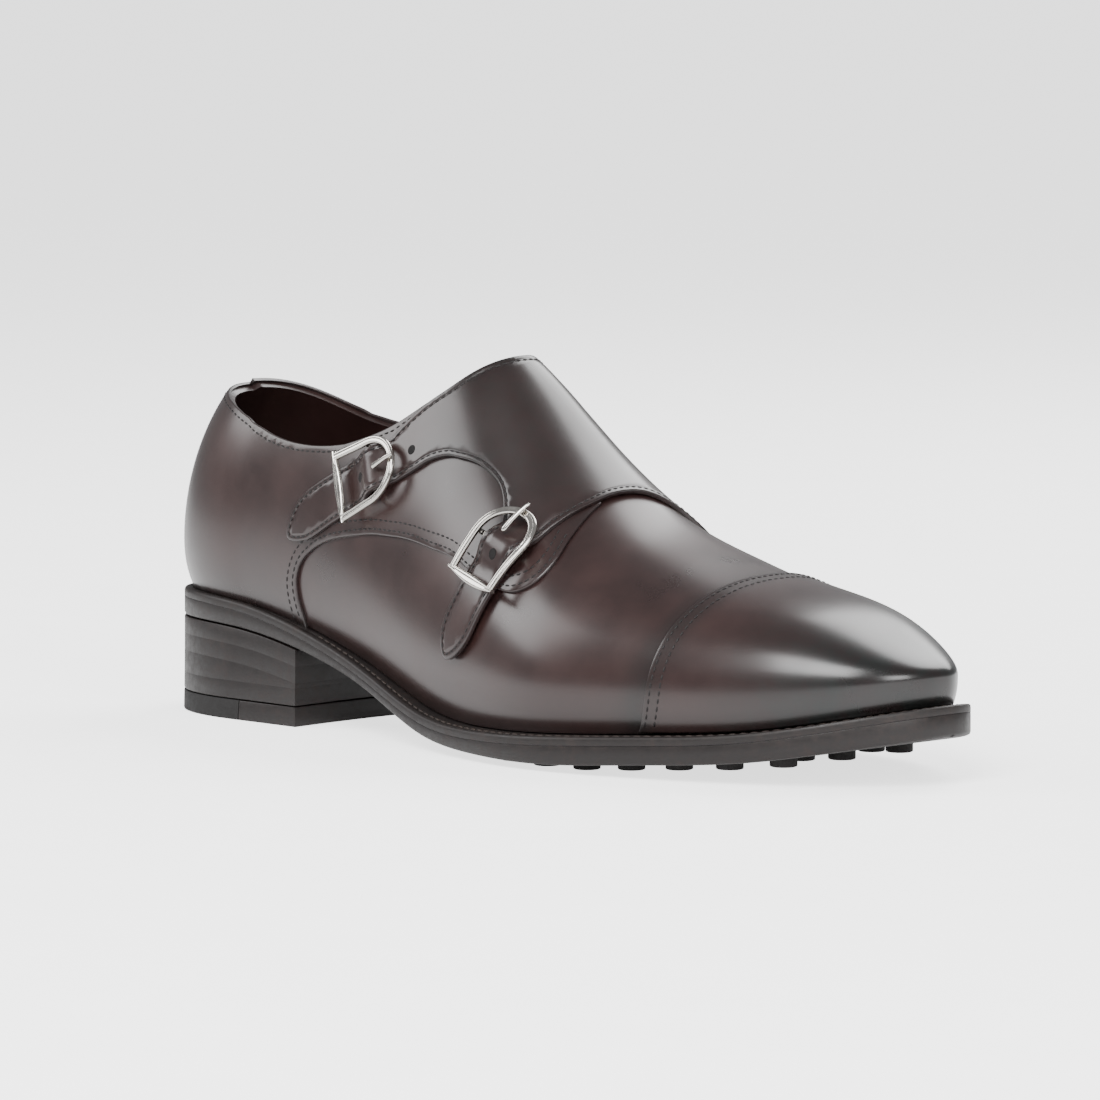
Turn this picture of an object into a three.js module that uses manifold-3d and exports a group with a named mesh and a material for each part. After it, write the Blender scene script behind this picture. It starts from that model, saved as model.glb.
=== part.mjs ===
// Double monk strap shoe, right foot, drawn as a shoemaker's last with every piece laid on it.
// Millimetres. x runs forward from the back of the sole, y towards the inner side, z up from the floor.
import * as THREE from 'three';
import Module from 'manifold-3d';

// ---- driving dimensions ----
const lastBack = 1; // rearmost point of the last
const lastTip = 297; // foremost point of the last
const heelCentre = 44; // ribs behind this station fan round a vertical axis
const toeStart = 228; // the outline starts to close towards the toe
const throat = 150; // foremost point of the opening in the upper
const wall = 2.2; // leather and lining of the upper
const gap = 0.3; // clearance between pieces that touch
const weltThickness = 2.4;
const weltWidth = 10;
const insoleThickness = 2.6;
const tongueThickness = 2;
const tongueGap = 1.6;
const capThickness = 1.1;
const strapThickness = 1.5;
const heelBreast = 71.5; // front face of the heel
const heelFootHalfWidth = 32;
const heelBackTaper = 2;
const topLiftThickness = 6;
const rubberJoint = 46; // joint between the rubber and leather parts of the top lift
const studHeight = 2.2;
const studRadius = 4;
const stud = { first: 158, step: 15, rows: 8, across: 2, margin: 14, sides: 8 };

// D-shaped buckles: bar and arch of one wire, centre bar under the strap, prong over the arch
const buckleShape = { legs: 12.6, radius: 9.4, barReach: 10.9, wireWidth: 1.15, wireHeight: 1.05, ride: 5.6 };
const centreBar = { u: 12.5, height: 2.4, radius: 0.8 };
const prongShape = { from: 15.2, to: 24.6, low: 6.6, high: 7.8, halfWidth: 0.9, halfHeight: 0.7 };
const strapHump = { rise: 3, reach: 8.5, halfWidth: 7.7 };

const outer = -1; // the little-toe side, where the straps are buckled
const inner = 1; // the big-toe side

// ---- curves through short tables ----
// Natural cubic spline through (xs, ys), straight beyond its ends.
function spline(xs, ys) {
  const n = xs.length;
  const bend = new Array(n).fill(0);
  const weight = new Array(n).fill(0);
  for (let i = 1; i < n - 1; i += 1) {
    const before = xs[i] - xs[i - 1];
    const after = xs[i + 1] - xs[i];
    const kink = (ys[i + 1] - ys[i]) / after - (ys[i] - ys[i - 1]) / before;
    const pivot = 2 * (before + after) - before * weight[i - 1];
    weight[i] = after / pivot;
    bend[i] = (3 * kink - before * bend[i - 1]) / pivot;
  }
  for (let i = n - 2; i > 0; i -= 1) bend[i] -= weight[i] * bend[i + 1];
  return (x) => {
    const inside = THREE.MathUtils.clamp(x, xs[0], xs[n - 1]);
    let k = 0;
    while (k < n - 2 && inside > xs[k + 1]) k += 1;
    const span = xs[k + 1] - xs[k];
    const t = inside - xs[k];
    const slope = (ys[k + 1] - ys[k]) / span - (span * (2 * bend[k] + bend[k + 1])) / 3;
    const twist = (bend[k + 1] - bend[k]) / (3 * span);
    const value = ys[k] + slope * t + bend[k] * t * t + twist * t ** 3;
    const endSlope = slope + 2 * bend[k] * t + 3 * twist * t * t;
    return value + (x - inside) * endSlope;
  };
}

// One spline for each named column of a table whose first column is x.
function splines(columns, rows) {
  const xs = rows.map((row) => row[0]);
  return Object.fromEntries(columns.map((name, i) => [name, spline(xs, rows.map((row) => row[i + 1]))]));
}

// Side view: height of the seat, where upper meets welt, and thickness of welt and outsole below it.
const profile = splines(['seat', 'thick'], [
  [0, 37, 8.5],
  [44, 35.2, 7.6],
  [80, 27.8, 6],
  [110, 19.2, 5.2],
  [140, 10.9, 6],
  [170, 9.2, 7],
  [200, 10.4, 8.2],
  [230, 12.3, 8.2],
  [260, 14.8, 8.4],
  [lastTip, 22, 9],
]);

// Top view: half widths of the last at its widest line.
const plan = splines(['outer', 'inner'], [
  [44, 28.6, 31.4],
  [70, 30, 30.3],
  [100, 33.2, 28.9],
  [130, 39.4, 31],
  [160, 46, 35],
  [190, 49.6, 41.2],
  [215, 46, 43.8],
  [240, 39, 41.8],
  [265, 30, 36],
  [lastTip, 17.5, 22],
]);

// Sections: height of the widest line over the seat, tuck of the seat edge under it, the ridge's height
// and sideways place, and the fullness of the curve leaving the widest line and reaching the ridge.
const sectionColumns = [
  'widest', 'tuckOuter', 'tuckInner', 'ridgeZ', 'ridgeY',
  'sideOuter', 'sideInner', 'crownOuter', 'crownInner',
];
const section = splines(sectionColumns, [
  [0, 14, 2.8, 2.8, 118, 0, 0.5, 0.5, 0.5, 0.5],
  [44, 18, 3, 2.8, 113, 0, 0.55, 0.55, 0.5, 0.5],
  [70, 20, 3, 3.5, 123, 0, 0.5, 0.5, 0.5, 0.5],
  [100, 19, 3, 5.5, 121, 1, 0.4, 0.4, 0.45, 0.45],
  [130, 17, 2.8, 5.5, 114.5, 2, 0.32, 0.36, 0.5, 0.5],
  [160, 15, 2.5, 4.5, 91, 3, 0.38, 0.38, 0.55, 0.58],
  [190, 13, 2.5, 3, 69.5, 4, 0.44, 0.44, 0.58, 0.58],
  [215, 12, 2.2, 2.5, 59.8, 5, 0.52, 0.5, 0.6, 0.58],
  [240, 11, 2, 2, 52.6, 6, 0.58, 0.56, 0.62, 0.6],
  [265, 10, 1.8, 1.8, 48, 7, 0.62, 0.6, 0.65, 0.64],
  [lastTip, 8.5, 1.5, 1.5, 37.5, 8, 0.62, 0.6, 0.65, 0.64],
]);

// How far the edge of welt and outsole stands out from the seat edge.
const edge = splines(['outer', 'inner'], [
  [0, 4, 4],
  [44, 4, 4],
  [70, 4.5, 5],
  [110, 6, 6.5],
  [160, 7.2, 6.5],
  [215, 7.5, 7],
  [lastTip, 6.6, 6.6],
]);

// Height of the upper's top edge. Under the strap flap it runs down to the throat.
const topline = splines(['outer', 'inner'], [
  [0, 105.4, 105.4],
  [8, 102.4, 102.4],
  [18, 98.6, 99.8],
  [32, 93.8, 93.8],
  [50, 87.6, 88],
  [70, 84.4, 86.6],
  [90, 86, 88.5],
  [105, 90.5, 92.5],
  [125, 97, 98.5],
  [throat, section.ridgeZ(throat), section.ridgeZ(throat)],
]);

function forSide(curves, side, name = '') {
  return curves[name ? name + (side < 0 ? 'Outer' : 'Inner') : side < 0 ? 'outer' : 'inner'];
}

// ---- the last ----
// Station u is x along the foot; behind the heel centre it turns round the heel from its side to its back.
const heelPower = 2.3;
const toeClosing = { power: 5, root: 2.25 };
const ridgeClosing = { power: 3.9, root: 2.2 };

function closing(x, shape) {
  const s = THREE.MathUtils.clamp((x - toeStart) / (lastTip - toeStart), 0, 1);
  return (1 - s ** shape.power) ** (1 / shape.root);
}

// Point of a heel outline: a superellipse of the given depth behind and width beside the heel centre.
function heelPoint(side, u, depth, halfWidth) {
  const angle = (Math.max(u, 0) / heelCentre) * (Math.PI / 2);
  const back = Math.cos(angle) / depth;
  const across = Math.sin(angle) / halfWidth;
  const radius = (back ** heelPower + across ** heelPower) ** (-1 / heelPower);
  return new THREE.Vector2(heelCentre - radius * Math.cos(angle), side * radius * Math.sin(angle));
}

function widestPoint(side, u) {
  const width = forSide(plan, side);
  if (u < heelCentre) return heelPoint(side, u, heelCentre - lastBack, width(heelCentre));
  const tipY = section.ridgeY(lastTip);
  const y = u > toeStart ? tipY + (side * width(u) - tipY) * closing(u, toeClosing) : side * width(u);
  return new THREE.Vector2(u, y);
}

function planNormal(side, u) {
  const step = 0.25;
  const before = u < step ? widestPoint(-side, step) : widestPoint(side, u - step);
  const after = u > lastTip - step ? widestPoint(-side, lastTip - step) : widestPoint(side, u + step);
  const along = after.sub(before).normalize();
  return new THREE.Vector2(-side * along.y, side * along.x);
}

// The seat edge, moved outward in plan by the given amount.
function seatPoint(side, u, out = 0) {
  const widest = widestPoint(side, u);
  const move = out - forSide(section, side, 'tuck')(widest.x);
  return widest.addScaledVector(planNormal(side, u), move);
}

function rib(side, u) {
  const widest = widestPoint(side, u);
  const seat = seatPoint(side, u);
  const ridgeX = Math.max(u, heelCentre);
  const widestZ = profile.seat(widest.x) + section.widest(widest.x);
  const ridgeZ = widestZ + (section.ridgeZ(ridgeX) - widestZ) * closing(ridgeX, ridgeClosing);
  return {
    foot: new THREE.Vector3(seat.x, seat.y, profile.seat(seat.x) + gap),
    wide: new THREE.Vector3(widest.x, widest.y, widestZ),
    ridge: new THREE.Vector3(ridgeX, section.ridgeY(ridgeX), ridgeZ),
    side: forSide(section, side, 'side')(widest.x),
    crown: forSide(section, side, 'crown')(widest.x),
  };
}

// Each rib is two Bezier curves: seat edge to widest line, then widest line to ridge.
const widestT = 0.25; // share of the rib's parameter below the widest line
function ribPoint(shape, t) {
  const { foot, wide, ridge } = shape;
  const low = wide.clone().sub(foot);
  const high = ridge.clone().sub(wide);
  const points = t < widestT
    ? [
      foot,
      foot.clone().add(new THREE.Vector3(low.x * 0.62, low.y * 0.62, low.z * 0.3)),
      wide.clone().add(new THREE.Vector3(0, 0, -low.z * 0.45)),
      wide,
    ]
    : [
      wide,
      wide.clone().add(new THREE.Vector3(0, 0, high.z * shape.side)),
      ridge.clone().sub(new THREE.Vector3(high.x * shape.crown, high.y * shape.crown, 0)),
      ridge,
    ];
  const s = t < widestT ? t / widestT : (t - widestT) / (1 - widestT);
  return new THREE.CubicBezierCurve3(...points).getPoint(s);
}

// Parameter at which a rib meets the top edge.
function ribAtTopline(side, shape) {
  let low = widestT;
  let high = 1;
  for (let i = 0; i < 30; i += 1) {
    const middle = (low + high) / 2;
    const point = ribPoint(shape, middle);
    if (point.z < forSide(topline, side)(point.x)) low = middle;
    else high = middle;
  }
  return high;
}

// A place on the upper: station x, and distance round the upper from the ridge, outer side negative.
const ribSteps = 48;
const unrolled = new Map();
function unroll(side, x) {
  const key = `${side}:${x.toFixed(3)}`;
  if (!unrolled.has(key)) {
    const shape = rib(side, x);
    const points = [];
    for (let i = 0; i <= ribSteps; i += 1) points.push(ribPoint(shape, 1 - i / ribSteps));
    const lengths = [0];
    for (let i = 1; i <= ribSteps; i += 1) lengths.push(lengths[i - 1] + points[i].distanceTo(points[i - 1]));
    unrolled.set(key, { points, lengths });
  }
  return unrolled.get(key);
}

function onUpper(x, g) {
  const { points, lengths } = unroll(g < 0 ? outer : inner, x);
  const distance = Math.abs(g);
  let k = 0;
  while (k < ribSteps - 1 && lengths[k + 1] < distance) k += 1;
  const share = (distance - lengths[k]) / (lengths[k + 1] - lengths[k]);
  return points[k].clone().lerp(points[k + 1], share);
}

// The same place raised off the upper by h.
function offUpper(x, g, h) {
  const step = 0.4;
  const forward = onUpper(x + step, g).sub(onUpper(x - step, g));
  const round = onUpper(x, g + step).sub(onUpper(x, g - step));
  return onUpper(x, g).addScaledVector(forward.cross(round).normalize(), h);
}

// ---- surfaces and solids ----
// A surface is {points, faces}. This one is woven through rows of points.
function weave(rows, flip = false) {
  const width = rows[0].length;
  const faces = [];
  for (let i = 0; i < rows.length - 1; i += 1) {
    for (let j = 0; j < width - 1; j += 1) {
      const a = i * width + j;
      const corners = flip ? [a, a + 1, a + width + 1, a + width] : [a, a + width, a + width + 1, a + 1];
      faces.push([corners[0], corners[1], corners[2]], [corners[0], corners[2], corners[3]]);
    }
  }
  return { points: rows.flat(), faces };
}

// Joins surfaces, with points that coincide made one.
function sew(...surfaces) {
  const points = [];
  const faces = [];
  const known = new Map();
  for (const surface of surfaces) {
    const index = surface.points.map((p) => {
      const key = [p.x, p.y, p.z].map((c) => Math.round(c * 500)).join();
      if (!known.has(key)) known.set(key, points.push(p) - 1);
      return known.get(key);
    });
    for (const face of surface.faces) {
      const [a, b, c] = face.map((i) => index[i]);
      if (a !== b && b !== c && c !== a) faces.push([a, b, c]);
    }
  }
  return { points, faces };
}

function vertexNormals({ points, faces }) {
  const normals = points.map(() => new THREE.Vector3());
  for (const [a, b, c] of faces) {
    const area = new THREE.Vector3().subVectors(points[b], points[a]);
    area.cross(new THREE.Vector3().subVectors(points[c], points[a]));
    for (const i of [a, b, c]) normals[i].add(area);
  }
  return normals.map((n) => n.normalize());
}

// Closes two like-numbered skins, low and high, into one solid along their free edges.
function solidBetween(low, high, faces) {
  const free = new Map();
  for (const [a, b, c] of faces) {
    for (const [from, to] of [[a, b], [b, c], [c, a]]) {
      if (!free.delete(`${to}:${from}`)) free.set(`${from}:${to}`, [from, to]);
    }
  }
  const count = low.length;
  const solid = faces.map(([a, b, c]) => [a + count, b + count, c + count]);
  for (const [a, b, c] of faces) solid.push([a, c, b]);
  for (const [a, b] of free.values()) solid.push([a, b, b + count], [a, b + count, a + count]);
  return solidGeometry([...low, ...high], solid);
}

function solidGeometry(points, faces) {
  let volume = 0;
  for (const [a, b, c] of faces) {
    volume += points[a].dot(new THREE.Vector3().crossVectors(points[b], points[c]));
  }
  const ordered = volume < 0 ? faces.map(([a, b, c]) => [a, c, b]) : faces;
  const geometry = new THREE.BufferGeometry().setFromPoints(points);
  geometry.setIndex(ordered.flat());
  return geometry;
}

// Thickens a surface along its normals, from low to high; either may vary from point to point.
function thicken(surface, low, high) {
  const normals = vertexNormals(surface);
  const skin = (height) => surface.points.map((p, i) => {
    const h = typeof height === 'function' ? height(i) : height;
    return p.clone().addScaledVector(normals[i], h);
  });
  return solidBetween(skin(low), skin(high), surface.faces);
}

// A slab over a plan surface, between two heights that follow x.
function slab(surface, lowZ, highZ) {
  const at = (height) => surface.points.map((p) => new THREE.Vector3(p.x, p.y, height(p.x)));
  return solidBetween(at(lowZ), at(highZ), surface.faces);
}

// ---- booleans ----
const wasm = await Module();
wasm.setup();

function toManifold(geometry) {
  const vertProperties = geometry.getAttribute('position').array;
  const triVerts = Uint32Array.from(geometry.getIndex().array);
  return new wasm.Manifold(new wasm.Mesh({ numProp: 3, vertProperties, triVerts }));
}

function fromManifold(solid) {
  const mesh = solid.getMesh();
  const geometry = new THREE.BufferGeometry();
  geometry.setAttribute('position', new THREE.BufferAttribute(Float32Array.from(mesh.vertProperties), 3));
  geometry.setIndex(Array.from(mesh.triVerts));
  return geometry;
}

function join(geometries) {
  return fromManifold(geometries.map(toManifold).reduce((sum, part) => sum.add(part)));
}

// ---- stations ----
function spread(from, to, steps, ease = (s) => s) {
  return Array.from({ length: steps + 1 }, (_, i) => from + (to - from) * ease(i / steps));
}

const easeToTip = (s) => Math.sin((s * Math.PI) / 2);
const heelStations = spread(0, heelCentre, 9);
const easeToThroat = (s) => 1 - (1 - s) ** 1.6; // closer together where the top edge turns over the ridge
const middleStations = [
  ...spread(heelCentre, throat, 12, easeToThroat).slice(1),
  ...spread(throat, toeStart, 8).slice(1),
];
const toeStations = spread(toeStart, lastTip, 9, easeToTip).slice(1);
const stations = [...heelStations, ...middleStations, ...toeStations];

// ---- upper: one wall from the seat edge to the top edge, closed over the foot in front of the throat ----
function upperRow(side, u) {
  const shape = rib(side, u);
  const top = u < throat ? ribAtTopline(side, shape) : 1;
  const low = spread(0, widestT, 2).map((t) => ribPoint(shape, t));
  const high = spread(widestT, top, 9).slice(1).map((t) => ribPoint(shape, t));
  return [...low, ...high];
}

function upper() {
  const back = upperRow(outer, 0); // both halves share the row up the back of the heel
  const half = (side) => stations.map((u) => (u === 0 ? back : upperRow(side, u)));
  return thicken(sew(weave(half(outer)), weave(half(inner), true)), -wall, 0);
}

// ---- toe cap: a second layer of the upper in front of a seam that bows forward at the ridge ----
const capSeam = { seat: 225.5, ridge: 233.7 };
const capBase = 0.35; // inner face of the cap over the upper

function toeCap() {
  const across = [...spread(0.05, widestT, 2), ...spread(widestT, 1, 8).slice(1)];
  const seamAt = (t) => THREE.MathUtils.lerp(capSeam.seat, capSeam.ridge, Math.sqrt(t));
  const skin = (side) => spread(0, 1, 10, easeToTip).map((s) => across.map((t) => {
    const seam = seamAt(t);
    return ribPoint(rib(side, seam + (lastTip - seam) * s), t);
  }));
  return thicken(sew(weave(skin(outer)), weave(skin(inner), true)), capBase, capBase + capThickness);
}

// ---- sheets cut to an outline that is drawn on the unrolled upper as (x, g) ----
// The part of a closed outline on the kept side of one grid line: axis x or y, sign 1 keeps what is above it.
function clip(outline, axis, limit, sign) {
  const kept = [];
  outline.forEach((p, i) => {
    const next = outline[(i + 1) % outline.length];
    const here = sign * (p[axis] - limit);
    const there = sign * (next[axis] - limit);
    if (here >= 0) kept.push(p);
    if (here * there < 0) kept.push(p.clone().lerp(next, here / (here - there)));
  });
  return kept;
}

// Drops the needles that clipping leaves along a grid line where an outline crosses it more than twice.
function withoutNeedles(outline) {
  const points = [...outline];
  for (let i = 0; i < points.length;) {
    const count = points.length;
    const back = points[(i + count - 1) % count].clone().sub(points[i]);
    const ahead = points[(i + 1) % count].clone().sub(points[i]);
    if (Math.abs(back.cross(ahead)) < 1e-9 && back.dot(ahead) >= 0) {
      points.splice(i, 1);
      i = 0;
    } else {
      i += 1;
    }
  }
  return points;
}

// Runs a smooth curve through each list of points in turn; a list starts where the last one ended.
function outlineThrough(stretches, step = 5) {
  const outline = [];
  for (const stretch of stretches) {
    const curve = new THREE.SplineCurve(stretch.map(([x, g]) => new THREE.Vector2(x, g)));
    const pieces = Math.max(1, Math.round(curve.getLength() / step));
    outline.push(...curve.getSpacedPoints(pieces).slice(0, -1));
  }
  return outline;
}

// Cuts the outline into grid cells, lays them on the upper and thickens the sheet between two heights.
function cutSheet(outline, low, high, cell = 6) {
  const extent = new THREE.Box2().setFromPoints(outline);
  const lines = (axis) => {
    const steps = Math.ceil((extent.max[axis] - extent.min[axis]) / cell);
    return spread(extent.min[axis], extent.max[axis], steps);
  };
  const chart = { points: [], faces: [] };
  const [xs, gs] = [lines('x'), lines('y')];
  for (let i = 0; i < xs.length - 1; i += 1) {
    const column = clip(clip(outline, 'x', xs[i], 1), 'x', xs[i + 1], -1);
    for (let j = 0; j < gs.length - 1; j += 1) {
      const piece = withoutNeedles(clip(clip(column, 'y', gs[j], 1), 'y', gs[j + 1], -1));
      const first = chart.points.length;
      chart.points.push(...piece.map((p) => new THREE.Vector3(p.x, p.y, 0)));
      const faces = piece.length > 2 ? THREE.ShapeUtils.triangulateShape(piece, []) : [];
      chart.faces.push(...faces.map((face) => face.map((k) => first + k)));
    }
  }
  const sheet = sew(chart);
  const skin = (height) => sheet.points.map(({ x, y: g }) => (
    offUpper(x, g, typeof height === 'function' ? height(x, g) : height)
  ));
  return solidBetween(skin(low), skin(high), sheet.faces);
}

// ---- buckles: laid out in a local frame, u from the bar towards the arch, v across, h off the upper ----
function buckleFrame({ bar, arch }) {
  const step = 0.5;
  const [x, g] = [0, 1].map((i) => (bar[i] + arch[i]) / 2);
  const alongX = onUpper(x + step, g).sub(onUpper(x - step, g)).divideScalar(2 * step);
  const alongG = onUpper(x, g + step).sub(onUpper(x, g - step)).divideScalar(2 * step);
  const normal = alongX.clone().cross(alongG).normalize();
  const axis = onUpper(...arch).sub(onUpper(...bar));
  axis.addScaledVector(normal, -axis.dot(normal)).normalize();
  const cross = normal.clone().cross(axis);
  // lengths in the surface are turned into steps of x and g by the inverse of their 2 x 2 metric
  const xx = alongX.dot(alongX);
  const xg = alongX.dot(alongG);
  const gg = alongG.dot(alongG);
  const size = xx * gg - xg * xg;
  const steps = (direction) => {
    const a = direction.dot(alongX);
    const b = direction.dot(alongG);
    return new THREE.Vector2((a * gg - b * xg) / size, (b * xx - a * xg) / size);
  };
  const perU = steps(axis);
  const perV = steps(cross);
  const turn = perU.x * perV.y - perU.y * perV.x;
  const toChart = (u, v) => [bar[0] + perU.x * u + perV.x * v, bar[1] + perU.y * u + perV.y * v];
  return {
    toLocal: (px, pg) => {
      const dx = px - bar[0];
      const dg = pg - bar[1];
      return [(dx * perV.y - dg * perV.x) / turn, (dg * perU.x - dx * perU.y) / turn];
    },
    place: (u, v, h) => offUpper(...toChart(u, v), h),
    toChart,
  };
}

// Where the middle of each bar and the top of each arch lie on the unrolled upper.
const buckles = {
  upper: buckleFrame({ bar: [93.4, -60.3], arch: [115, -47.6] }),
  lower: buckleFrame({ bar: [161.8, -62.2], arch: [168.2, -39.4] }),
};

// A bar with an oval section along a path of [u, v, h, half width, half height].
function wire(frame, path, sides = 8) {
  const points = [];
  const faces = [];
  path.forEach(([u, v, h, halfWidth, halfHeight], i) => {
    const before = path[Math.max(i - 1, 0)];
    const after = path[Math.min(i + 1, path.length - 1)];
    const along = new THREE.Vector2(after[0] - before[0], after[1] - before[1]).normalize();
    for (let k = 0; k < sides; k += 1) {
      const angle = ((k + 0.5) / sides) * 2 * Math.PI;
      const across = halfWidth * Math.cos(angle);
      points.push(frame.place(u - along.y * across, v + along.x * across, h + halfHeight * Math.sin(angle)));
    }
  });
  const last = (path.length - 1) * sides;
  for (let i = 0; i < path.length - 1; i += 1) {
    for (let k = 0; k < sides; k += 1) {
      const a = i * sides + k;
      const b = i * sides + ((k + 1) % sides);
      faces.push([a, b, b + sides], [a, b + sides, a + sides]);
    }
  }
  for (let k = 1; k < sides - 1; k += 1) faces.push([0, k + 1, k], [last, last + k, last + k + 1]);
  return solidGeometry(points, faces);
}

function buckleWire(frame) {
  const { legs, radius, barReach, wireWidth, wireHeight, ride } = buckleShape;
  const leg = [0, 6];
  const bend = spread(-Math.PI / 2, Math.PI / 2, 9);
  const arch = [
    ...leg.map((u) => [u, -radius]),
    ...bend.map((angle) => [legs + (radius + 0.3) * Math.cos(angle), radius * Math.sin(angle)]),
    ...leg.map((u) => [u, radius]).reverse(),
  ].map(([u, v]) => [u, v, ride, wireWidth, wireHeight]);
  const bar = spread(-barReach, barReach, 6).map((v) => {
    const swell = 0.75 + 0.75 * Math.cos((v / barReach) * (Math.PI / 2));
    return [0, v, ride, swell, wireHeight];
  });
  const sag = (v) => THREE.MathUtils.smoothstep(Math.abs(v), 7.9, 9.2);
  const middle = [-9.3, -8.6, -7.9, 0, 7.9, 8.6, 9.3].map((v) => {
    const h = THREE.MathUtils.lerp(centreBar.height, ride - 0.1, sag(v));
    return [centreBar.u, v, h, centreBar.radius, centreBar.radius];
  });
  return join([wire(frame, arch), wire(frame, bar), wire(frame, middle, 6)]);
}

function prong(frame) {
  const { from, to, low, high, halfWidth, halfHeight } = prongShape;
  const path = spread(from, to, 5).map((u) => {
    const share = (u - from) / (to - from);
    return [u, 0, low + (high - low) * Math.sin((share * Math.PI) / 2), halfWidth, halfHeight];
  });
  return wire(frame, path);
}

// The leather loop that holds the centre bar, sewn to the quarter under the strap.
function buckleTab(frame) {
  const corners = [[6, -5.5], [18, -5.5], [18, 5.5], [6, 5.5]];
  const chart = corners.map(([u, v]) => frame.toChart(u, v));
  const edges = chart.map((corner, i) => [corner, chart[(i + 1) % 4]]);
  return cutSheet(outlineThrough(edges), 0.75, 1.25);
}

// ---- strap flap: the inner quarter carried over the instep, with two straps that end in points ----
const straps = {
  upper: { root: 19, tip: -28.5, lean: 0.06 },
  lower: { root: 18, tip: -24.5, lean: -0.08 },
};
const strapHalfWidth = 6.9;
const tipShape = [[10, 1], [4.6, 0.74], [1.2, 0.36]]; // distance from the tip, share of the half width

// Edge of a strap in its buckle's frame: along one side, round the tip and back along the other.
function strapEdge(name) {
  const { root, tip, lean } = straps[name];
  const half = [[root, 1], [(root + tip) / 2, 1], ...tipShape.map(([back, share]) => [tip + back, share])];
  const sideOf = (sign) => half.map(([u, share]) => [u, lean * u + sign * share * strapHalfWidth]);
  const local = [...sideOf(-1), [tip, lean * tip], ...sideOf(1).reverse()];
  return local.map(([u, v]) => buckles[name].toChart(u, v));
}

const upperStrap = strapEdge('upper');
const lowerStrap = strapEdge('lower');
const flapOutline = outlineThrough([
  [upperStrap.at(-1), [111.5, -37.5], [117, -31], [124, -23.5], [130, -14], [134, -5], [134.5, 2], [131, 10],
    [125, 18], [117, 26], [105, 34.5], [90, 43.5]],
  [[90, 43.5], [92, 64]],
  [[92, 64], [112, 66], [134, 64.5], [154, 58.5], [172, 49], [189, 36]],
  [[189, 36], [190, 32], [188.5, 22], [184.5, 10], [181.5, 0], [180.3, -10], [179.5, -21], lowerStrap[0]],
  lowerStrap,
  [lowerStrap.at(-1), [157.6, -37.5], [152.9, -35.6], [145.4, -36.6], [137.1, -40], [133, -41.7],
    [126, -46.1], [120.6, -50.5], upperStrap[0]],
  upperStrap,
]);

// Height of the flap's inner face: it lies on the upper, on the outer quarter, and over each centre bar.
function flapBase(x, g) {
  let h = THREE.MathUtils.lerp(1.3, 0.6, THREE.MathUtils.smoothstep(g, -25, 20));
  for (const frame of Object.values(buckles)) {
    const [u, v] = frame.toLocal(x, g);
    const share = THREE.MathUtils.clamp((u - centreBar.u) / strapHump.reach, -1, 1);
    const within = 1 - THREE.MathUtils.smoothstep(Math.abs(v), strapHump.halfWidth, strapHump.halfWidth + 1);
    h += strapHump.rise * within * Math.cos((share * Math.PI) / 2) ** 2;
  }
  return h;
}

function strapFlap() {
  return cutSheet(flapOutline, flapBase, (x, g) => flapBase(x, g) + strapThickness);
}

// ---- tongue: lies against the lining under the flap ----
function tongue() {
  const outline = outlineThrough([
    [[140, -26], [138, 0], [140, 24]],
    [[140, 24], [168, 29], [192, 20]],
    [[192, 20], [196, 0], [192, -22]],
    [[192, -22], [168, -32], [140, -26]],
  ], 7);
  const top = -wall - tongueGap;
  return cutSheet(outline, top - tongueThickness, top, 8);
}

// ---- bottom: insole, welt, outsole with studs, heel ----
// Plan surface across the foot between the seat edges, moved outward by out(side, x).
function acrossFoot(us, out, columns = 4) {
  return sew(weave(us.map((u) => {
    const ends = [outer, inner].map((side) => seatPoint(side, u, out(side, Math.max(u, 0))));
    return spread(0, 1, columns).map((s) => {
      const p = ends[0].clone().lerp(ends[1], s);
      return new THREE.Vector3(p.x, p.y, 0);
    });
  })));
}

const soleEdge = (side, x) => forSide(edge, side)(x);

function insole() {
  const surface = acrossFoot(stations, () => -2.9, 3);
  const base = 2 * gap;
  return slab(surface, (x) => profile.seat(x) + base, (x) => profile.seat(x) + base + insoleThickness);
}

function welt() {
  const strip = (side) => stations.map((u) => [0, weltWidth].map((width) => {
    const p = seatPoint(side, u, soleEdge(side, u) - width);
    return new THREE.Vector3(p.x, p.y, 0);
  }));
  const surface = sew(weave(strip(outer)), weave(strip(inner), true));
  return slab(surface, (x) => profile.seat(x) - weltThickness, (x) => profile.seat(x));
}

function soleBottom(x) {
  return profile.seat(x) - profile.thick(x);
}

// Round studs under the forefoot; those under the ball reach the floor.
function studs() {
  const pieces = [];
  for (let row = 0; row < stud.rows; row += 1) {
    const x = stud.first + row * stud.step;
    const low = seatPoint(outer, x, soleEdge(outer, x)).y + stud.margin;
    const high = seatPoint(inner, x, soleEdge(inner, x)).y - stud.margin;
    for (const y of spread(low, high, stud.across)) {
      const foot = Math.max(0, soleBottom(x) - studHeight);
      const head = soleBottom(x) + 1;
      const peg = new THREE.CylinderGeometry(studRadius, studRadius, head - foot, stud.sides);
      peg.rotateX(Math.PI / 2).translate(x, y, (head + foot) / 2);
      pieces.push(closed(peg));
    }
  }
  return pieces;
}

// A library shape with its coinciding corners made one.
function closed(geometry) {
  const position = geometry.getAttribute('position');
  const points = [];
  for (let i = 0; i < position.count; i += 1) points.push(new THREE.Vector3().fromBufferAttribute(position, i));
  const faces = [];
  const index = geometry.getIndex();
  for (let i = 0; i < index.count; i += 3) faces.push([0, 1, 2].map((k) => index.getX(i + k)));
  const sewn = sew({ points, faces });
  return solidGeometry(sewn.points, sewn.faces);
}

function outsole() {
  const top = (x) => profile.seat(x) - weltThickness - gap;
  return join([slab(acrossFoot(stations, soleEdge), soleBottom, top), ...studs()]);
}

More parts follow.
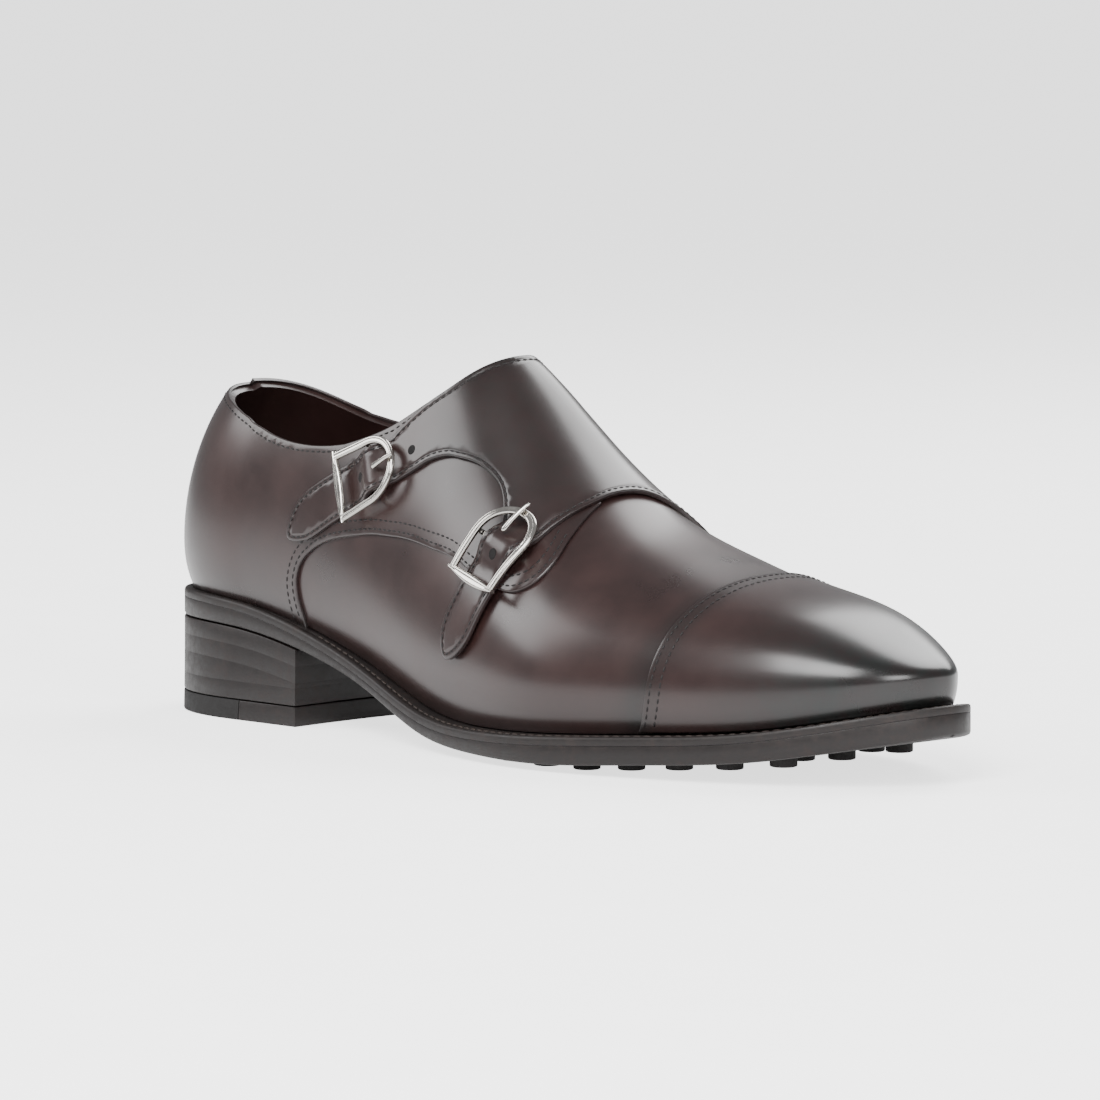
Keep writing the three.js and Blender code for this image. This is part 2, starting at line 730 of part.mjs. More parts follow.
// Heel outline at the floor: narrower at the back than the sole above it.
function heelFoot(side, u) {
  const depth = heelCentre - lastBack + 1.5 - heelBackTaper;
  if (u < heelCentre) return heelPoint(side, u, depth, heelFootHalfWidth);
  return new THREE.Vector2(u, side * heelFootHalfWidth);
}

// A block of the heel between two heights; its plan goes from the floor outline to the sole's.
function heelBlock(from, to, lowZ, highZ, columns = 4) {
  const us = from < heelCentre ? [...heelStations, ...spread(heelCentre, to, 3).slice(1)] : spread(from, to, 3);
  const row = (u, z) => {
    const ends = [outer, inner].map((side) => {
      const foot = heelFoot(side, Math.min(u, to));
      const sole = seatPoint(side, u, soleEdge(side, u));
      const rise = z(foot.x) / soleBottom(foot.x);
      return foot.lerp(sole, rise);
    });
    return spread(0, 1, columns).map((s) => {
      const p = ends[0].clone().lerp(ends[1], s);
      return new THREE.Vector3(p.x, p.y, z(p.x));
    });
  };
  const low = weave(us.map((u) => row(u, lowZ)));
  const high = weave(us.map((u) => row(u, highZ)));
  const start = from < heelCentre ? columns + 1 : 0;
  // the back row is a single point, so it is kept once
  const trim = (skin) => (start ? [skin.points[0], ...skin.points.slice(start)] : skin.points);
  const renumber = (i) => Math.max(0, i - (start ? columns : 0));
  const faces = low.faces.map((face) => face.map((i) => (start ? renumber(i) : i)));
  const whole = faces.filter(([a, b, c]) => a !== b && b !== c && c !== a);
  return solidBetween(trim(low), trim(high), whole);
}

function heelStack() {
  const base = topLiftThickness + gap;
  return heelBlock(0, heelBreast, () => base, (x) => soleBottom(x) - gap);
}

function topLiftRubber() {
  return heelBlock(0, rubberJoint, () => 0, () => topLiftThickness);
}

function topLift() {
  return heelBlock(rubberJoint + gap, heelBreast, () => 0, () => topLiftThickness);
}

// ---- materials ----
function material(color, roughness, metalness = 0) {
  return new THREE.MeshStandardMaterial({ color, roughness, metalness });
}

const calf = material(0x4a3432, 0.35);
const lining = material(0x5c4238, 0.8);
const edgeInk = material(0x2c2422, 0.5);
const rubber = material(0x1c1a1a, 0.85);
const silver = material(0xd8d4cc, 0.2, 1);

// ---- assembly ----
const pieces = [
  ['outsole', outsole(), edgeInk],
  ['welt', welt(), edgeInk],
  ['heel_stack', heelStack(), edgeInk],
  ['top_lift', topLift(), edgeInk],
  ['top_lift_rubber', topLiftRubber(), rubber],
  ['insole', insole(), lining],
  ['upper', upper(), calf],
  ['toe_cap', toeCap(), calf],
  ['tongue', tongue(), calf],
  ['strap_flap', strapFlap(), calf],
];
for (const [name, frame] of Object.entries(buckles)) {
  pieces.push([`${name}_buckle_tab`, buckleTab(frame), calf]);
  pieces.push([`${name}_buckle_frame`, buckleWire(frame), silver]);
  pieces.push([`${name}_buckle_prong`, prong(frame), silver]);
}

const shoe = new THREE.Group();
for (const [name, geometry, finish] of pieces) {
  const mesh = new THREE.Mesh(geometry, finish);
  mesh.name = name;
  shoe.add(mesh);
}

// The origin is under the middle of the shoe's box, on the floor.
const middle = new THREE.Box3().setFromObject(shoe).getCenter(new THREE.Vector3());
shoe.position.set(-middle.x, -middle.y, 0);

export default shoe;
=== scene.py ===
# A right-foot double monk strap shoe: every leather is wrapped round one last, in millimetres.
import math
import bpy
import numpy as np
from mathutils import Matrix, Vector


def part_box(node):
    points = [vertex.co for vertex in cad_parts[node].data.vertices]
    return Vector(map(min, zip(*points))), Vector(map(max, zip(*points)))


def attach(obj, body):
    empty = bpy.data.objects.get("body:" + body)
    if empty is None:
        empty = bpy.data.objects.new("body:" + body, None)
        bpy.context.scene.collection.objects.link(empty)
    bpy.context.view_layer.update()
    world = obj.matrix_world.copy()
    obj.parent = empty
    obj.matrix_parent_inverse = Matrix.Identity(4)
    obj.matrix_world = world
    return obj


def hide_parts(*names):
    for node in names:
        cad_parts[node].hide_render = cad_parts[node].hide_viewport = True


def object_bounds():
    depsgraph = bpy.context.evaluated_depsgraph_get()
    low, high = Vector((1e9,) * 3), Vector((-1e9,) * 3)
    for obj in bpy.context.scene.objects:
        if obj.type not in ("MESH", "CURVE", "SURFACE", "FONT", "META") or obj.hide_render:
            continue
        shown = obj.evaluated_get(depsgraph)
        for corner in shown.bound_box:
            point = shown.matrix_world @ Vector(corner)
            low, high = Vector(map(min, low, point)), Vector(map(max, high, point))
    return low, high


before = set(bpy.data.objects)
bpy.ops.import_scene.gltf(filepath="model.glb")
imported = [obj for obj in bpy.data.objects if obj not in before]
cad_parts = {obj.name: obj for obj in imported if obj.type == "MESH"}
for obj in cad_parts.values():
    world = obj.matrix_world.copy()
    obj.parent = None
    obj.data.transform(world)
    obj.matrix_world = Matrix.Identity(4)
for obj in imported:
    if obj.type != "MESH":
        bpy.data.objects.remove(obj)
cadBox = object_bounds()
print("frame loaded")

mm = 0.001
outer, inner = -1, 1  # the buckled side of the shoe, and the side of the big toe


# ---- curves through short tables ----
def spline(xs, ys):  # natural cubic, straight beyond its ends
    xs, ys = np.array(xs, float), np.array(ys, float)
    count = len(xs)
    gaps = np.diff(xs)
    slopes = np.diff(ys) / gaps
    system = np.eye(count)
    load = np.zeros(count)
    for i in range(1, count - 1):
        system[i, i - 1:i + 2] = gaps[i - 1], 2 * (gaps[i - 1] + gaps[i]), gaps[i]
        load[i] = 3 * (slopes[i] - slopes[i - 1])
    bend = np.linalg.solve(system, load)

    def value(x):
        x = np.asarray(x, float)
        inside = np.clip(x, xs[0], xs[-1])
        k = np.clip(np.searchsorted(xs, inside, side="right") - 1, 0, count - 2)
        t = inside - xs[k]
        slope = slopes[k] - gaps[k] * (2 * bend[k] + bend[k + 1]) / 3
        twist = (bend[k + 1] - bend[k]) / (3 * gaps[k])
        height = ys[k] + slope * t + bend[k] * t * t + twist * t ** 3
        return height + (x - inside) * (slope + 2 * bend[k] * t + 3 * twist * t * t)
    return value


def splines(names, rows):
    columns = list(zip(*rows))
    return {name: spline(columns[0], columns[i + 1]) for i, name in enumerate(names.split())}


def smooth(x, low, high):
    t = np.clip((np.asarray(x, float) - low) / (high - low), 0, 1)
    return t * t * (3 - 2 * t)


# ---- the last ----
last = dict(back=1, tip=297, heelCentre=44, toeStart=228, throat=150, heelPower=2.3,
            toePower=5, toeRoot=2.25, ridgePower=3.9, ridgeRoot=2.2, wideShare=0.25, gap=0.3)

profile = splines("seat thick", [
    (0, 37, 8.5), (44, 35.2, 7.6), (80, 27.8, 6), (110, 19.2, 5.2), (140, 10.9, 6),
    (170, 9.2, 7), (200, 10.4, 8.2), (230, 12.3, 8.2), (260, 14.8, 8.4), (297, 22, 9)])

plan = splines("outer inner", [
    (44, 28.6, 31.4), (70, 30, 30.3), (100, 33.2, 28.9), (130, 39.4, 31), (160, 46, 35),
    (190, 49.6, 41.2), (215, 46, 43.8), (240, 39, 41.8), (265, 30, 36), (297, 17.5, 22)])

section = splines("widest tuckOuter tuckInner ridgeZ ridgeY sideOuter sideInner crownOuter crownInner", [
    (0, 14, 2.8, 2.8, 118, 0, 0.5, 0.5, 0.5, 0.5),
    (44, 18, 3, 2.8, 113, 0, 0.55, 0.55, 0.5, 0.5),
    (70, 20, 3, 3.5, 123, 0, 0.5, 0.5, 0.5, 0.5),
    (100, 19, 3, 5.5, 121, 1, 0.4, 0.4, 0.45, 0.45),
    (130, 17, 2.8, 5.5, 114.5, 2, 0.32, 0.36, 0.5, 0.5),
    (160, 15, 2.5, 4.5, 91, 3, 0.38, 0.38, 0.55, 0.58),
    (190, 13, 2.5, 3, 69.5, 4, 0.44, 0.44, 0.58, 0.58),
    (215, 12, 2.2, 2.5, 59.8, 5, 0.52, 0.5, 0.6, 0.58),
    (240, 11, 2, 2, 52.6, 6, 0.58, 0.56, 0.62, 0.6),
    (265, 10, 1.8, 1.8, 48, 7, 0.62, 0.6, 0.65, 0.64),
    (297, 8.5, 1.5, 1.5, 37.5, 8, 0.62, 0.6, 0.65, 0.64)])

edge = splines("outer inner", [
    (0, 4, 4), (44, 4, 4), (70, 4.5, 5), (110, 6, 6.5), (160, 7.2, 6.5), (215, 7.5, 7), (297, 6.6, 6.6)])

topline = splines("outer inner", [
    (0, 105.4, 105.4), (8, 102.4, 102.4), (18, 98.6, 99.8), (32, 93.8, 93.8),
    (50, 87.6, 88), (70, 84.4, 86.6), (90, 86, 88.5),
    (105, 90.5, 92.5), (125, 97, 98.5), (150, section["ridgeZ"](150), section["ridgeZ"](150))])


def bySide(curves, side, x, name=""):
    names = (name + "Outer", name + "Inner") if name else ("outer", "inner")
    return np.where(side < 0, curves[names[0]](x), curves[names[1]](x))


def closing(x, power, root):
    s = np.clip((x - last["toeStart"]) / (last["tip"] - last["toeStart"]), 0, 1)
    return (1 - s ** power) ** (1 / root)


def heelPoint(side, u, depth, halfWidth):
    angle = np.maximum(u, 0) / last["heelCentre"] * math.pi / 2
    power = last["heelPower"]
    cosine, sine = np.clip(np.cos(angle), 0, 1), np.sin(angle)
    radius = ((cosine / depth) ** power + (sine / halfWidth) ** power) ** (-1 / power)
    return last["heelCentre"] - radius * cosine, side * radius * sine


def widest(side, u):
    centre = last["heelCentre"]
    behind = heelPoint(side, np.minimum(u, centre), centre - last["back"], bySide(plan, side, centre))
    tipY = section["ridgeY"](last["tip"])
    y = side * bySide(plan, side, u)
    y = np.where(u > last["toeStart"], tipY + (y - tipY) * closing(u, last["toePower"], last["toeRoot"]), y)
    return np.where(u < centre, behind[0], u), np.where(u < centre, behind[1], y)


def acrossEnd(side, u):  # stations past either end of the last carry on along the other side
    beyond = (u < 0) | (u > last["tip"])
    u = np.where(u < 0, -u, np.where(u > last["tip"], 2 * last["tip"] - u, u))
    return widest(np.where(beyond, -side, side), u)


def seatEdge(side, u, out=0.0):
    side, u = np.broadcast_arrays(np.asarray(side, float), np.asarray(u, float))
    x, y = widest(side, u)
    step = 0.25
    low = acrossEnd(side, u - step)
    high = acrossEnd(side, u + step)
    alongX, alongY = high[0] - low[0], high[1] - low[1]
    length = np.hypot(alongX, alongY)
    move = out - bySide(section, side, x, "tuck")
    return x - side * alongY / length * move, y + side * alongX / length * move


def onRib(side, u, t):  # t runs from the seat edge, 0, over the widest line to the ridge, 1
    side, u, t = np.broadcast_arrays(np.asarray(side, float), np.asarray(u, float), np.asarray(t, float))
    x, y = widest(side, u)
    seatX, seatY = seatEdge(side, u)
    ridgeX = np.maximum(u, last["heelCentre"])
    wideZ = profile["seat"](x) + section["widest"](x)
    fall = closing(ridgeX, last["ridgePower"], last["ridgeRoot"])
    ridgeZ = wideZ + (section["ridgeZ"](ridgeX) - wideZ) * fall
    foot = np.stack([seatX, seatY, profile["seat"](seatX) + last["gap"]], -1)
    wide = np.stack([x, y, wideZ], -1)
    ridge = np.stack([ridgeX, section["ridgeY"](ridgeX), ridgeZ], -1)
    fullSide = bySide(section, side, x, "side")[..., None]
    fullCrown = bySide(section, side, x, "crown")[..., None]
    low, high = wide - foot, ridge - wide
    up = np.array([0, 0, 1.0])
    flat = np.array([1.0, 1.0, 0])
    share = last["wideShare"]

    def bezier(a, b, c, d, s):
        s = s[..., None]
        return a * (1 - s) ** 3 + 3 * b * s * (1 - s) ** 2 + 3 * c * s * s * (1 - s) + d * s ** 3
    lower = bezier(foot, foot + low * np.array([0.62, 0.62, 0.3]), wide - 0.45 * low * up, wide,
                   np.clip(t / share, 0, 1))
    upper = bezier(wide, wide + high * up * fullSide, ridge - high * flat * fullCrown, ridge,
                   np.clip((t - share) / (1 - share), 0, 1))
    return np.where((t < share)[..., None], lower, upper)


def toplineShare(side, u):  # the t at which each rib meets the top edge
    u = np.asarray(u, float)
    low, high = np.full(u.shape, last["wideShare"]), np.ones(u.shape)
    for _ in range(26):
        middle = (low + high) / 2
        point = onRib(side, u, middle)
        under = point[..., 2] < bySide(topline, side, point[..., 0])
        low, high = np.where(under, middle, low), np.where(under, high, middle)
    return np.where(u < last["throat"], high, 1.0)


# The unrolled upper: u along the foot and g round it from the ridge, outer side negative.
chart = dict(uStep=0.75, gStep=0.5, reach=130, frontU=292)
chartU = np.arange(0, chart["frontU"], chart["uStep"])
chartG = np.arange(-chart["reach"], chart["reach"] + 0.1, chart["gStep"])


def unroll():
    points = np.zeros((len(chartU), len(chartG), 3))
    girth = {}
    for side in (outer, inner):
        ribs = onRib(side, chartU[:, None], np.linspace(1, 0, 181)[None, :])
        lengths = np.cumsum(np.linalg.norm(np.diff(ribs, axis=1), axis=2), axis=1)
        lengths = np.concatenate([np.zeros((len(chartU), 1)), lengths], axis=1)
        girth[side] = lengths[:, -1]
        mine = np.where(chartG * side >= 0)[0]
        for i in range(len(chartU)):
            for axis in range(3):
                points[i, mine, axis] = np.interp(np.abs(chartG[mine]), lengths[i], ribs[i, :, axis])
        past = np.maximum(np.abs(chartG[mine])[None, :] - girth[side][:, None], 0)
        points[:, mine, 2] -= past
    normals = np.cross(np.gradient(points, axis=0), np.gradient(points, axis=1))
    normals /= np.linalg.norm(normals, axis=2)[..., None] + 1e-12
    return points, normals, girth


chartPoints, chartNormals, girth = unroll()


def fromChart(u, g, h=0.0):
    i = np.clip(np.asarray(u, float) / chart["uStep"], 0, len(chartU) - 1.001)
    j = np.clip((np.asarray(g, float) + chart["reach"]) / chart["gStep"], 0, len(chartG) - 1.001)
    i0, j0 = i.astype(int), j.astype(int)
    a, b = (i - i0)[..., None], (j - j0)[..., None]

    def mixed(table):
        low = table[i0, j0] * (1 - a) + table[i0 + 1, j0] * a
        high = table[i0, j0 + 1] * (1 - a) + table[i0 + 1, j0 + 1] * a
        return low * (1 - b) + high * b
    normal = mixed(chartNormals)
    normal /= np.linalg.norm(normal, axis=-1)[..., None]
    return mixed(chartPoints) + normal * np.asarray(h, float)[..., None], normal


def footG(side, u):
    return side * np.interp(u, chartU, girth[side])


def gAtHeight(side, u, z):  # how far round from the ridge the upper has come down to a height
    gs = side * np.arange(2, 110, 0.5)
    heights = fromChart(np.full(len(gs), float(u)), gs)[0][:, 2]
    return float(np.interp(-z, -heights, gs))


def toplineG(side, u):
    point = onRib(side, u, toplineShare(side, np.array(float(u))))
    return gAtHeight(side, u, float(point[2]))


# The row's origin is under the middle of the shoe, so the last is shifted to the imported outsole.
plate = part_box("outsole")
stations = np.linspace(0, last["tip"], 600)
outlineY = [seatEdge(side, stations, bySide(edge, side, stations))[1] for side in (outer, inner)]
outlineX = seatEdge(outer, stations, edge["outer"](stations))[0]
shift = np.array([plate[0][0] / mm - outlineX.min(),
                  plate[0][1] / mm - min(outlineY[0].min(), outlineY[1].min()), 0])
print("last ready, shifted by", shift.round(2))


# ---- ways of making a piece ----
def select(piece):
    bpy.ops.object.select_all(action="DESELECT")
    piece.select_set(True)
    bpy.context.view_layer.objects.active = piece


def finishPiece(piece, name, material, nodes=(), smoothAngle=50, burnish=None):
    select(piece)
    piece.name = name
    piece.data.name = name
    bpy.ops.object.shade_smooth_by_angle(angle=math.radians(smoothAngle))
    for finish in material if isinstance(material, list) else [material]:
        piece.data.materials.append(finish)
    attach(piece, "root")
    if nodes:
        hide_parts(*nodes)
    return piece


def coords(piece):
    flat = np.empty(len(piece.data.vertices) * 3)
    piece.data.vertices.foreach_get("co", flat)
    return flat.reshape(-1, 3)


def setCoords(piece, points):
    piece.data.vertices.foreach_set("co", (np.asarray(points) + shift).ravel() * mm)
    piece.data.update()


def paint(piece, values):  # how strongly each point is burnished, read by the calf
    layer = piece.data.attributes.new("burnish", "FLOAT", "POINT")
    layer.data.foreach_set("value", np.asarray(values, dtype=np.float32))


def wrappedGrid(across, around, place, closed=False, caps=False):
    bpy.ops.object.select_all(action="DESELECT")
    bpy.ops.mesh.primitive_grid_add(x_subdivisions=across, y_subdivisions=around, size=2)
    piece = bpy.context.object
    flat = coords(piece)
    setCoords(piece, place((flat[:, 0] + 1) / 2, (flat[:, 1] + 1) / 2))
    bpy.ops.object.mode_set(mode="EDIT")
    bpy.ops.mesh.select_mode(type="VERT")
    bpy.ops.mesh.select_all(action="SELECT")
    bpy.ops.mesh.remove_doubles(threshold=0.02 * mm)
    if caps:
        bpy.ops.mesh.select_all(action="DESELECT")
        bpy.ops.mesh.select_non_manifold()
        bpy.ops.mesh.fill_holes(sides=0)
        bpy.ops.mesh.select_all(action="SELECT")
    if closed or caps:
        bpy.ops.mesh.normals_make_consistent(inside=False)
    bpy.ops.object.mode_set(mode="OBJECT")
    return piece


def faceAwayFrom(piece, point):
    centre = Vector((np.array(point) + shift) * mm)
    lean = sum((face.center - centre).normalized().dot(face.normal) * face.area for face in piece.data.polygons)
    if lean < 0:
        select(piece)
        bpy.ops.object.mode_set(mode="EDIT")
        bpy.ops.mesh.select_all(action="SELECT")
        bpy.ops.mesh.flip_normals()
        bpy.ops.object.mode_set(mode="OBJECT")


def applied(piece, kind, **settings):
    select(piece)
    modifier = piece.modifiers.new(kind.title(), kind)
    for key, value in settings.items():
        setattr(modifier, key, value)
    bpy.ops.object.modifier_apply(modifier=modifier.name)


def pathThrough(points, step=1.0):  # a Catmull-Rom curve, resampled evenly
    knots = np.array(points, float)
    padded = np.vstack([2 * knots[0] - knots[1], knots, 2 * knots[-1] - knots[-2]])
    t = np.linspace(0, 1, 24, endpoint=False)[:, None]
    dense = []
    for k in range(len(knots) - 1):
        a, b, c, d = padded[k:k + 4]
        dense.append(0.5 * (2 * b + (c - a) * t + (2 * a - 5 * b + 4 * c - d) * t * t
                            + (3 * b - a - 3 * c + d) * t ** 3))
    dense = np.vstack(dense + [knots[-1:]])
    lengths = np.concatenate([[0], np.cumsum(np.linalg.norm(np.diff(dense, axis=0), axis=1))])
    count = max(1, round(lengths[-1] / step))
    marks = np.linspace(0, lengths[-1], count + 1)
    return np.stack([np.interp(marks, lengths, dense[:, k]) for k in range(dense.shape[1])], 1)


def outlineThrough(stretches, step=1.6):
    outline = np.vstack([pathThrough(stretch, step)[:-1] for stretch in stretches])
    x, g = outline.T
    area = np.sum(x * np.roll(g, -1) - np.roll(x, -1) * g)
    return outline if area > 0 else outline[::-1]


def offsetPath(path, distance):  # to the left of the way the path runs
    along = np.gradient(path, axis=0)
    along /= np.linalg.norm(along, axis=1)[:, None]
    return path + distance * np.stack([-along[:, 1], along[:, 0]], 1)


# A leather cut to an outline on the unrolled upper: a disc shaped to it, raised, its rim rounded, a stitch
# channel let in, sliced into small cells and wrapped on the last.
def cutPanel(outline, base, thickness, cell=2.4, rim=0.42, channel=0.9):
    bpy.ops.object.select_all(action="DESELECT")
    bpy.ops.mesh.primitive_circle_add(vertices=len(outline), radius=1, fill_type="NGON")
    piece = bpy.context.object
    piece.data.vertices.foreach_set("co", np.column_stack([outline, np.zeros(len(outline))]).ravel())
    piece.data.update()
    bpy.ops.object.mode_set(mode="EDIT")
    bpy.ops.mesh.select_all(action="SELECT")
    bpy.ops.mesh.extrude_region_move(TRANSFORM_OT_translate={"value": (0, 0, thickness - rim)})
    for across, rise in ((0.134, 0.5), (0.366, 0.366), (0.5, 0.134)):
        bpy.ops.mesh.inset(thickness=rim * across, depth=rim * rise, use_even_offset=False)
    if channel:
        for across, rise in ((channel, 0), (0.22, -0.12), (0.2, 0), (0.22, 0.12)):
            bpy.ops.mesh.inset(thickness=across, depth=rise, use_even_offset=False)
    low, high = outline.min(axis=0), outline.max(axis=0)
    for axis in (0, 1):
        count = math.ceil((high[axis] - low[axis]) / cell)
        for mark in np.linspace(low[axis], high[axis], count + 1)[1:-1]:
            place = [0.0, 0.0, 0.0]
            place[axis] = mark + 0.013
            normal = [0.0, 0.0, 0.0]
            normal[axis] = 1.0
            bpy.ops.mesh.select_all(action="SELECT")
            bpy.ops.mesh.bisect(plane_co=place, plane_no=normal)
    bpy.ops.mesh.select_all(action="SELECT")
    bpy.ops.mesh.remove_doubles(threshold=0.02)
    bpy.ops.object.mode_set(mode="OBJECT")
    flat = coords(piece)
    points, _ = fromChart(flat[:, 0], flat[:, 1], base(flat[:, 0], flat[:, 1]) + flat[:, 2])
    setCoords(piece, points)
    distance = np.full(len(flat), 99.0)
    for start in range(0, len(flat), 2000):
        part = flat[start:start + 2000, None, :2] - outline[None, :, :]
        distance[start:start + 2000] = np.linalg.norm(part, axis=2).min(axis=1)
    return piece, flat, distance


# ---- stitches ----
def threadModel(length, width, height):
    bpy.ops.object.select_all(action="DESELECT")
    bpy.ops.mesh.primitive_uv_sphere_add(segments=8, ring_count=5, radius=0.5)
    thread = bpy.context.object
    bpy.ops.object.mode_set(mode="EDIT")
    bpy.ops.mesh.select_all(action="SELECT")
    bpy.ops.transform.rotate(value=math.pi / 2, orient_axis="Y", center_override=(0, 0, 0))
    bpy.ops.transform.resize(value=(length, width, height))
    bpy.ops.object.mode_set(mode="OBJECT")
    points = coords(thread).copy()
    faces = [tuple(face.vertices) for face in thread.data.polygons]
    bpy.data.objects.remove(thread)
    return points, faces


def stitchRow(path, normals, pitch, thread):
    lengths = np.concatenate([[0], np.cumsum(np.linalg.norm(np.diff(path, axis=0), axis=1))])
    count = max(1, int(lengths[-1] / pitch))
    marks = (np.arange(count) + 0.5) * lengths[-1] / count
    step = pitch * 0.3

    def at(table, where):
        return np.stack([np.interp(where, lengths, table[:, k]) for k in range(3)], 1)
    middle, normal = at(path, marks), at(normals, marks)
    along = at(path, np.minimum(marks + step, lengths[-1])) - at(path, np.maximum(marks - step, 0))
    along /= np.linalg.norm(along, axis=1)[:, None]
    across = np.cross(normal, along)
    across /= np.linalg.norm(across, axis=1)[:, None]
    up = np.cross(along, across)
    points, faces = thread
    placed = (middle[:, None] + points[None, :, :1] * along[:, None]
              + points[None, :, 1:2] * across[:, None] + points[None, :, 2:] * up[:, None])
    size = len(points)
    return placed.reshape(-1, 3), [tuple(v + k * size for v in face) for k in range(count) for face in faces]


def stitchPiece(name, rows, thread, pitch, material):
    points, faces = [], []
    for path, normals in rows:
        placed, made = stitchRow(path, normals, pitch, thread)
        start = sum(len(block) for block in points)
        points.append(placed)
        faces += [tuple(v + start for v in face) for face in made]
    mesh = bpy.data.meshes.new(name)
    mesh.from_pydata([tuple(p) for p in (np.vstack(points) + shift) * mm], [], faces)
    piece = bpy.data.objects.new(name, mesh)
    bpy.context.scene.collection.objects.link(piece)
    return finishPiece(piece, name, material, smoothAngle=80)


def chartRow(path, height):  # a seam drawn on the unrolled upper, at a height off it
    path = np.asarray(path)
    return fromChart(path[:, 0], path[:, 1], height(path[:, 0], path[:, 1]))


# ---- materials ----
def linear(colour, alpha=1.0):
    parts = [int(colour[i:i + 2], 16) / 255 for i in (1, 3, 5)]
    return tuple(c / 12.92 if c <= 0.04045 else ((c + 0.055) / 1.055) ** 2.4 for c in parts) + (alpha,)


def newMaterial(name):
    material = bpy.data.materials.new(name)
    material.use_nodes = True
    material.node_tree.nodes.clear()
    return material, material.node_tree


def addNode(tree, kind, settings=None, **inputs):
    made = tree.nodes.new(kind)
    for key, value in (settings or {}).items():
        setattr(made, key, value)
    for key, value in inputs.items():
        byNumber = key[0] == "i" and key[1:].isdigit()
        socket = made.inputs[int(key[1:]) if byNumber else key.replace("_", " ")]
        if isinstance(value, bpy.types.NodeSocket):
            tree.links.new(value, socket)
        else:
            socket.default_value = value
    return made


def mixed(tree, share, first, second, blend="MIX"):
    made = addNode(tree, "ShaderNodeMix", {"data_type": "RGBA", "blend_type": blend},
                   i0=share, i6=first, i7=second)
    return made.outputs[2]


def ranged(tree, value, low, high, fromLow=0.0, fromHigh=1.0):
    made = addNode(tree, "ShaderNodeMapRange", None, Value=value, From_Min=fromLow, From_Max=fromHigh,
                   To_Min=low, To_Max=high)
    return made.outputs["Result"]


def calfLeather(name, body, light, dark, cool, roughness=0.34, coat=0.3, useBurnish=True):
    # Burnished box calf: a deep brown body, near-black where the polish gathers, polished smooth.
    material, tree = newMaterial(name)
    place = addNode(tree, "ShaderNodeTexCoord").outputs["Object"]
    clouds = addNode(tree, "ShaderNodeTexNoise", None, Vector=place, Scale=38.0, Detail=5.0, Roughness=0.55)
    mottle = addNode(tree, "ShaderNodeTexNoise", None, Vector=place, Scale=190.0, Detail=4.0, Roughness=0.6)
    base = mixed(tree, ranged(tree, clouds.outputs["Fac"], 0, 1, 0.35, 0.7), linear(body), linear(light))
    base = mixed(tree, ranged(tree, mottle.outputs["Fac"], 0, 0.06, 0.45, 0.8), base, linear(dark))
    if useBurnish:
        burnish = addNode(tree, "ShaderNodeAttribute", {"attribute_name": "burnish"}).outputs["Fac"]
        uneven = addNode(tree, "ShaderNodeMath", {"operation": "MULTIPLY_ADD"},
                         i0=clouds.outputs["Fac"], i1=0.9, i2=-0.45)
        share = addNode(tree, "ShaderNodeMath", {"operation": "ADD", "use_clamp": True}, i0=burnish,
                        i1=uneven.outputs[0])
        strength = addNode(tree, "ShaderNodeMath", {"operation": "MULTIPLY", "use_clamp": True},
                           i0=share.outputs[0], i1=ranged(tree, burnish, 0, 1, 0.02, 0.24))
        shade = mixed(tree, ranged(tree, mottle.outputs["Fac"], 0, 1, 0.4, 0.6), linear(dark), linear(cool))
        base = mixed(tree, strength.outputs[0], base, shade)
    rough = ranged(tree, clouds.outputs["Fac"], roughness - 0.04, roughness + 0.06, 0.3, 0.7)
    shader = addNode(tree, "ShaderNodeBsdfPrincipled", None, Base_Color=base, Roughness=rough, IOR=1.5,
                     Coat_Weight=coat, Coat_Roughness=0.22)
    addNode(tree, "ShaderNodeOutputMaterial", None, Surface=shader.outputs[0])
    return material


def plainLeather(name, colour, worn, roughness, grain=420.0, coat=0.0, bumpDepth=0.0002):
    # Undyed or edge-inked vegetable-tanned leather: matte, faintly fibrous, a little lighter where rubbed.
    material, tree = newMaterial(name)
    place = addNode(tree, "ShaderNodeTexCoord").outputs["Object"]
    fibres = addNode(tree, "ShaderNodeTexNoise", None, Vector=place, Scale=grain, Detail=6.0, Roughness=0.65)
    patches = addNode(tree, "ShaderNodeTexNoise", None, Vector=place, Scale=55.0, Detail=3.0)
    share = addNode(tree, "ShaderNodeMath", {"operation": "MULTIPLY", "use_clamp": True},
                    i0=ranged(tree, fibres.outputs["Fac"], 0, 1, 0.45, 0.75),
                    i1=ranged(tree, patches.outputs["Fac"], 0.1, 1, 0.35, 0.65))
    base = mixed(tree, share.outputs[0], linear(colour), linear(worn))
    bump = addNode(tree, "ShaderNodeBump", None, Strength=0.3, Distance=bumpDepth, Height=fibres.outputs["Fac"])
    rough = ranged(tree, fibres.outputs["Fac"], roughness - 0.08, roughness + 0.08, 0.3, 0.7)
    shader = addNode(tree, "ShaderNodeBsdfPrincipled", None, Base_Color=base, Roughness=rough, IOR=1.48,
                     Coat_Weight=coat, Coat_Roughness=0.3, Normal=bump.outputs[0])
    addNode(tree, "ShaderNodeOutputMaterial", None, Surface=shader.outputs[0])
    return material


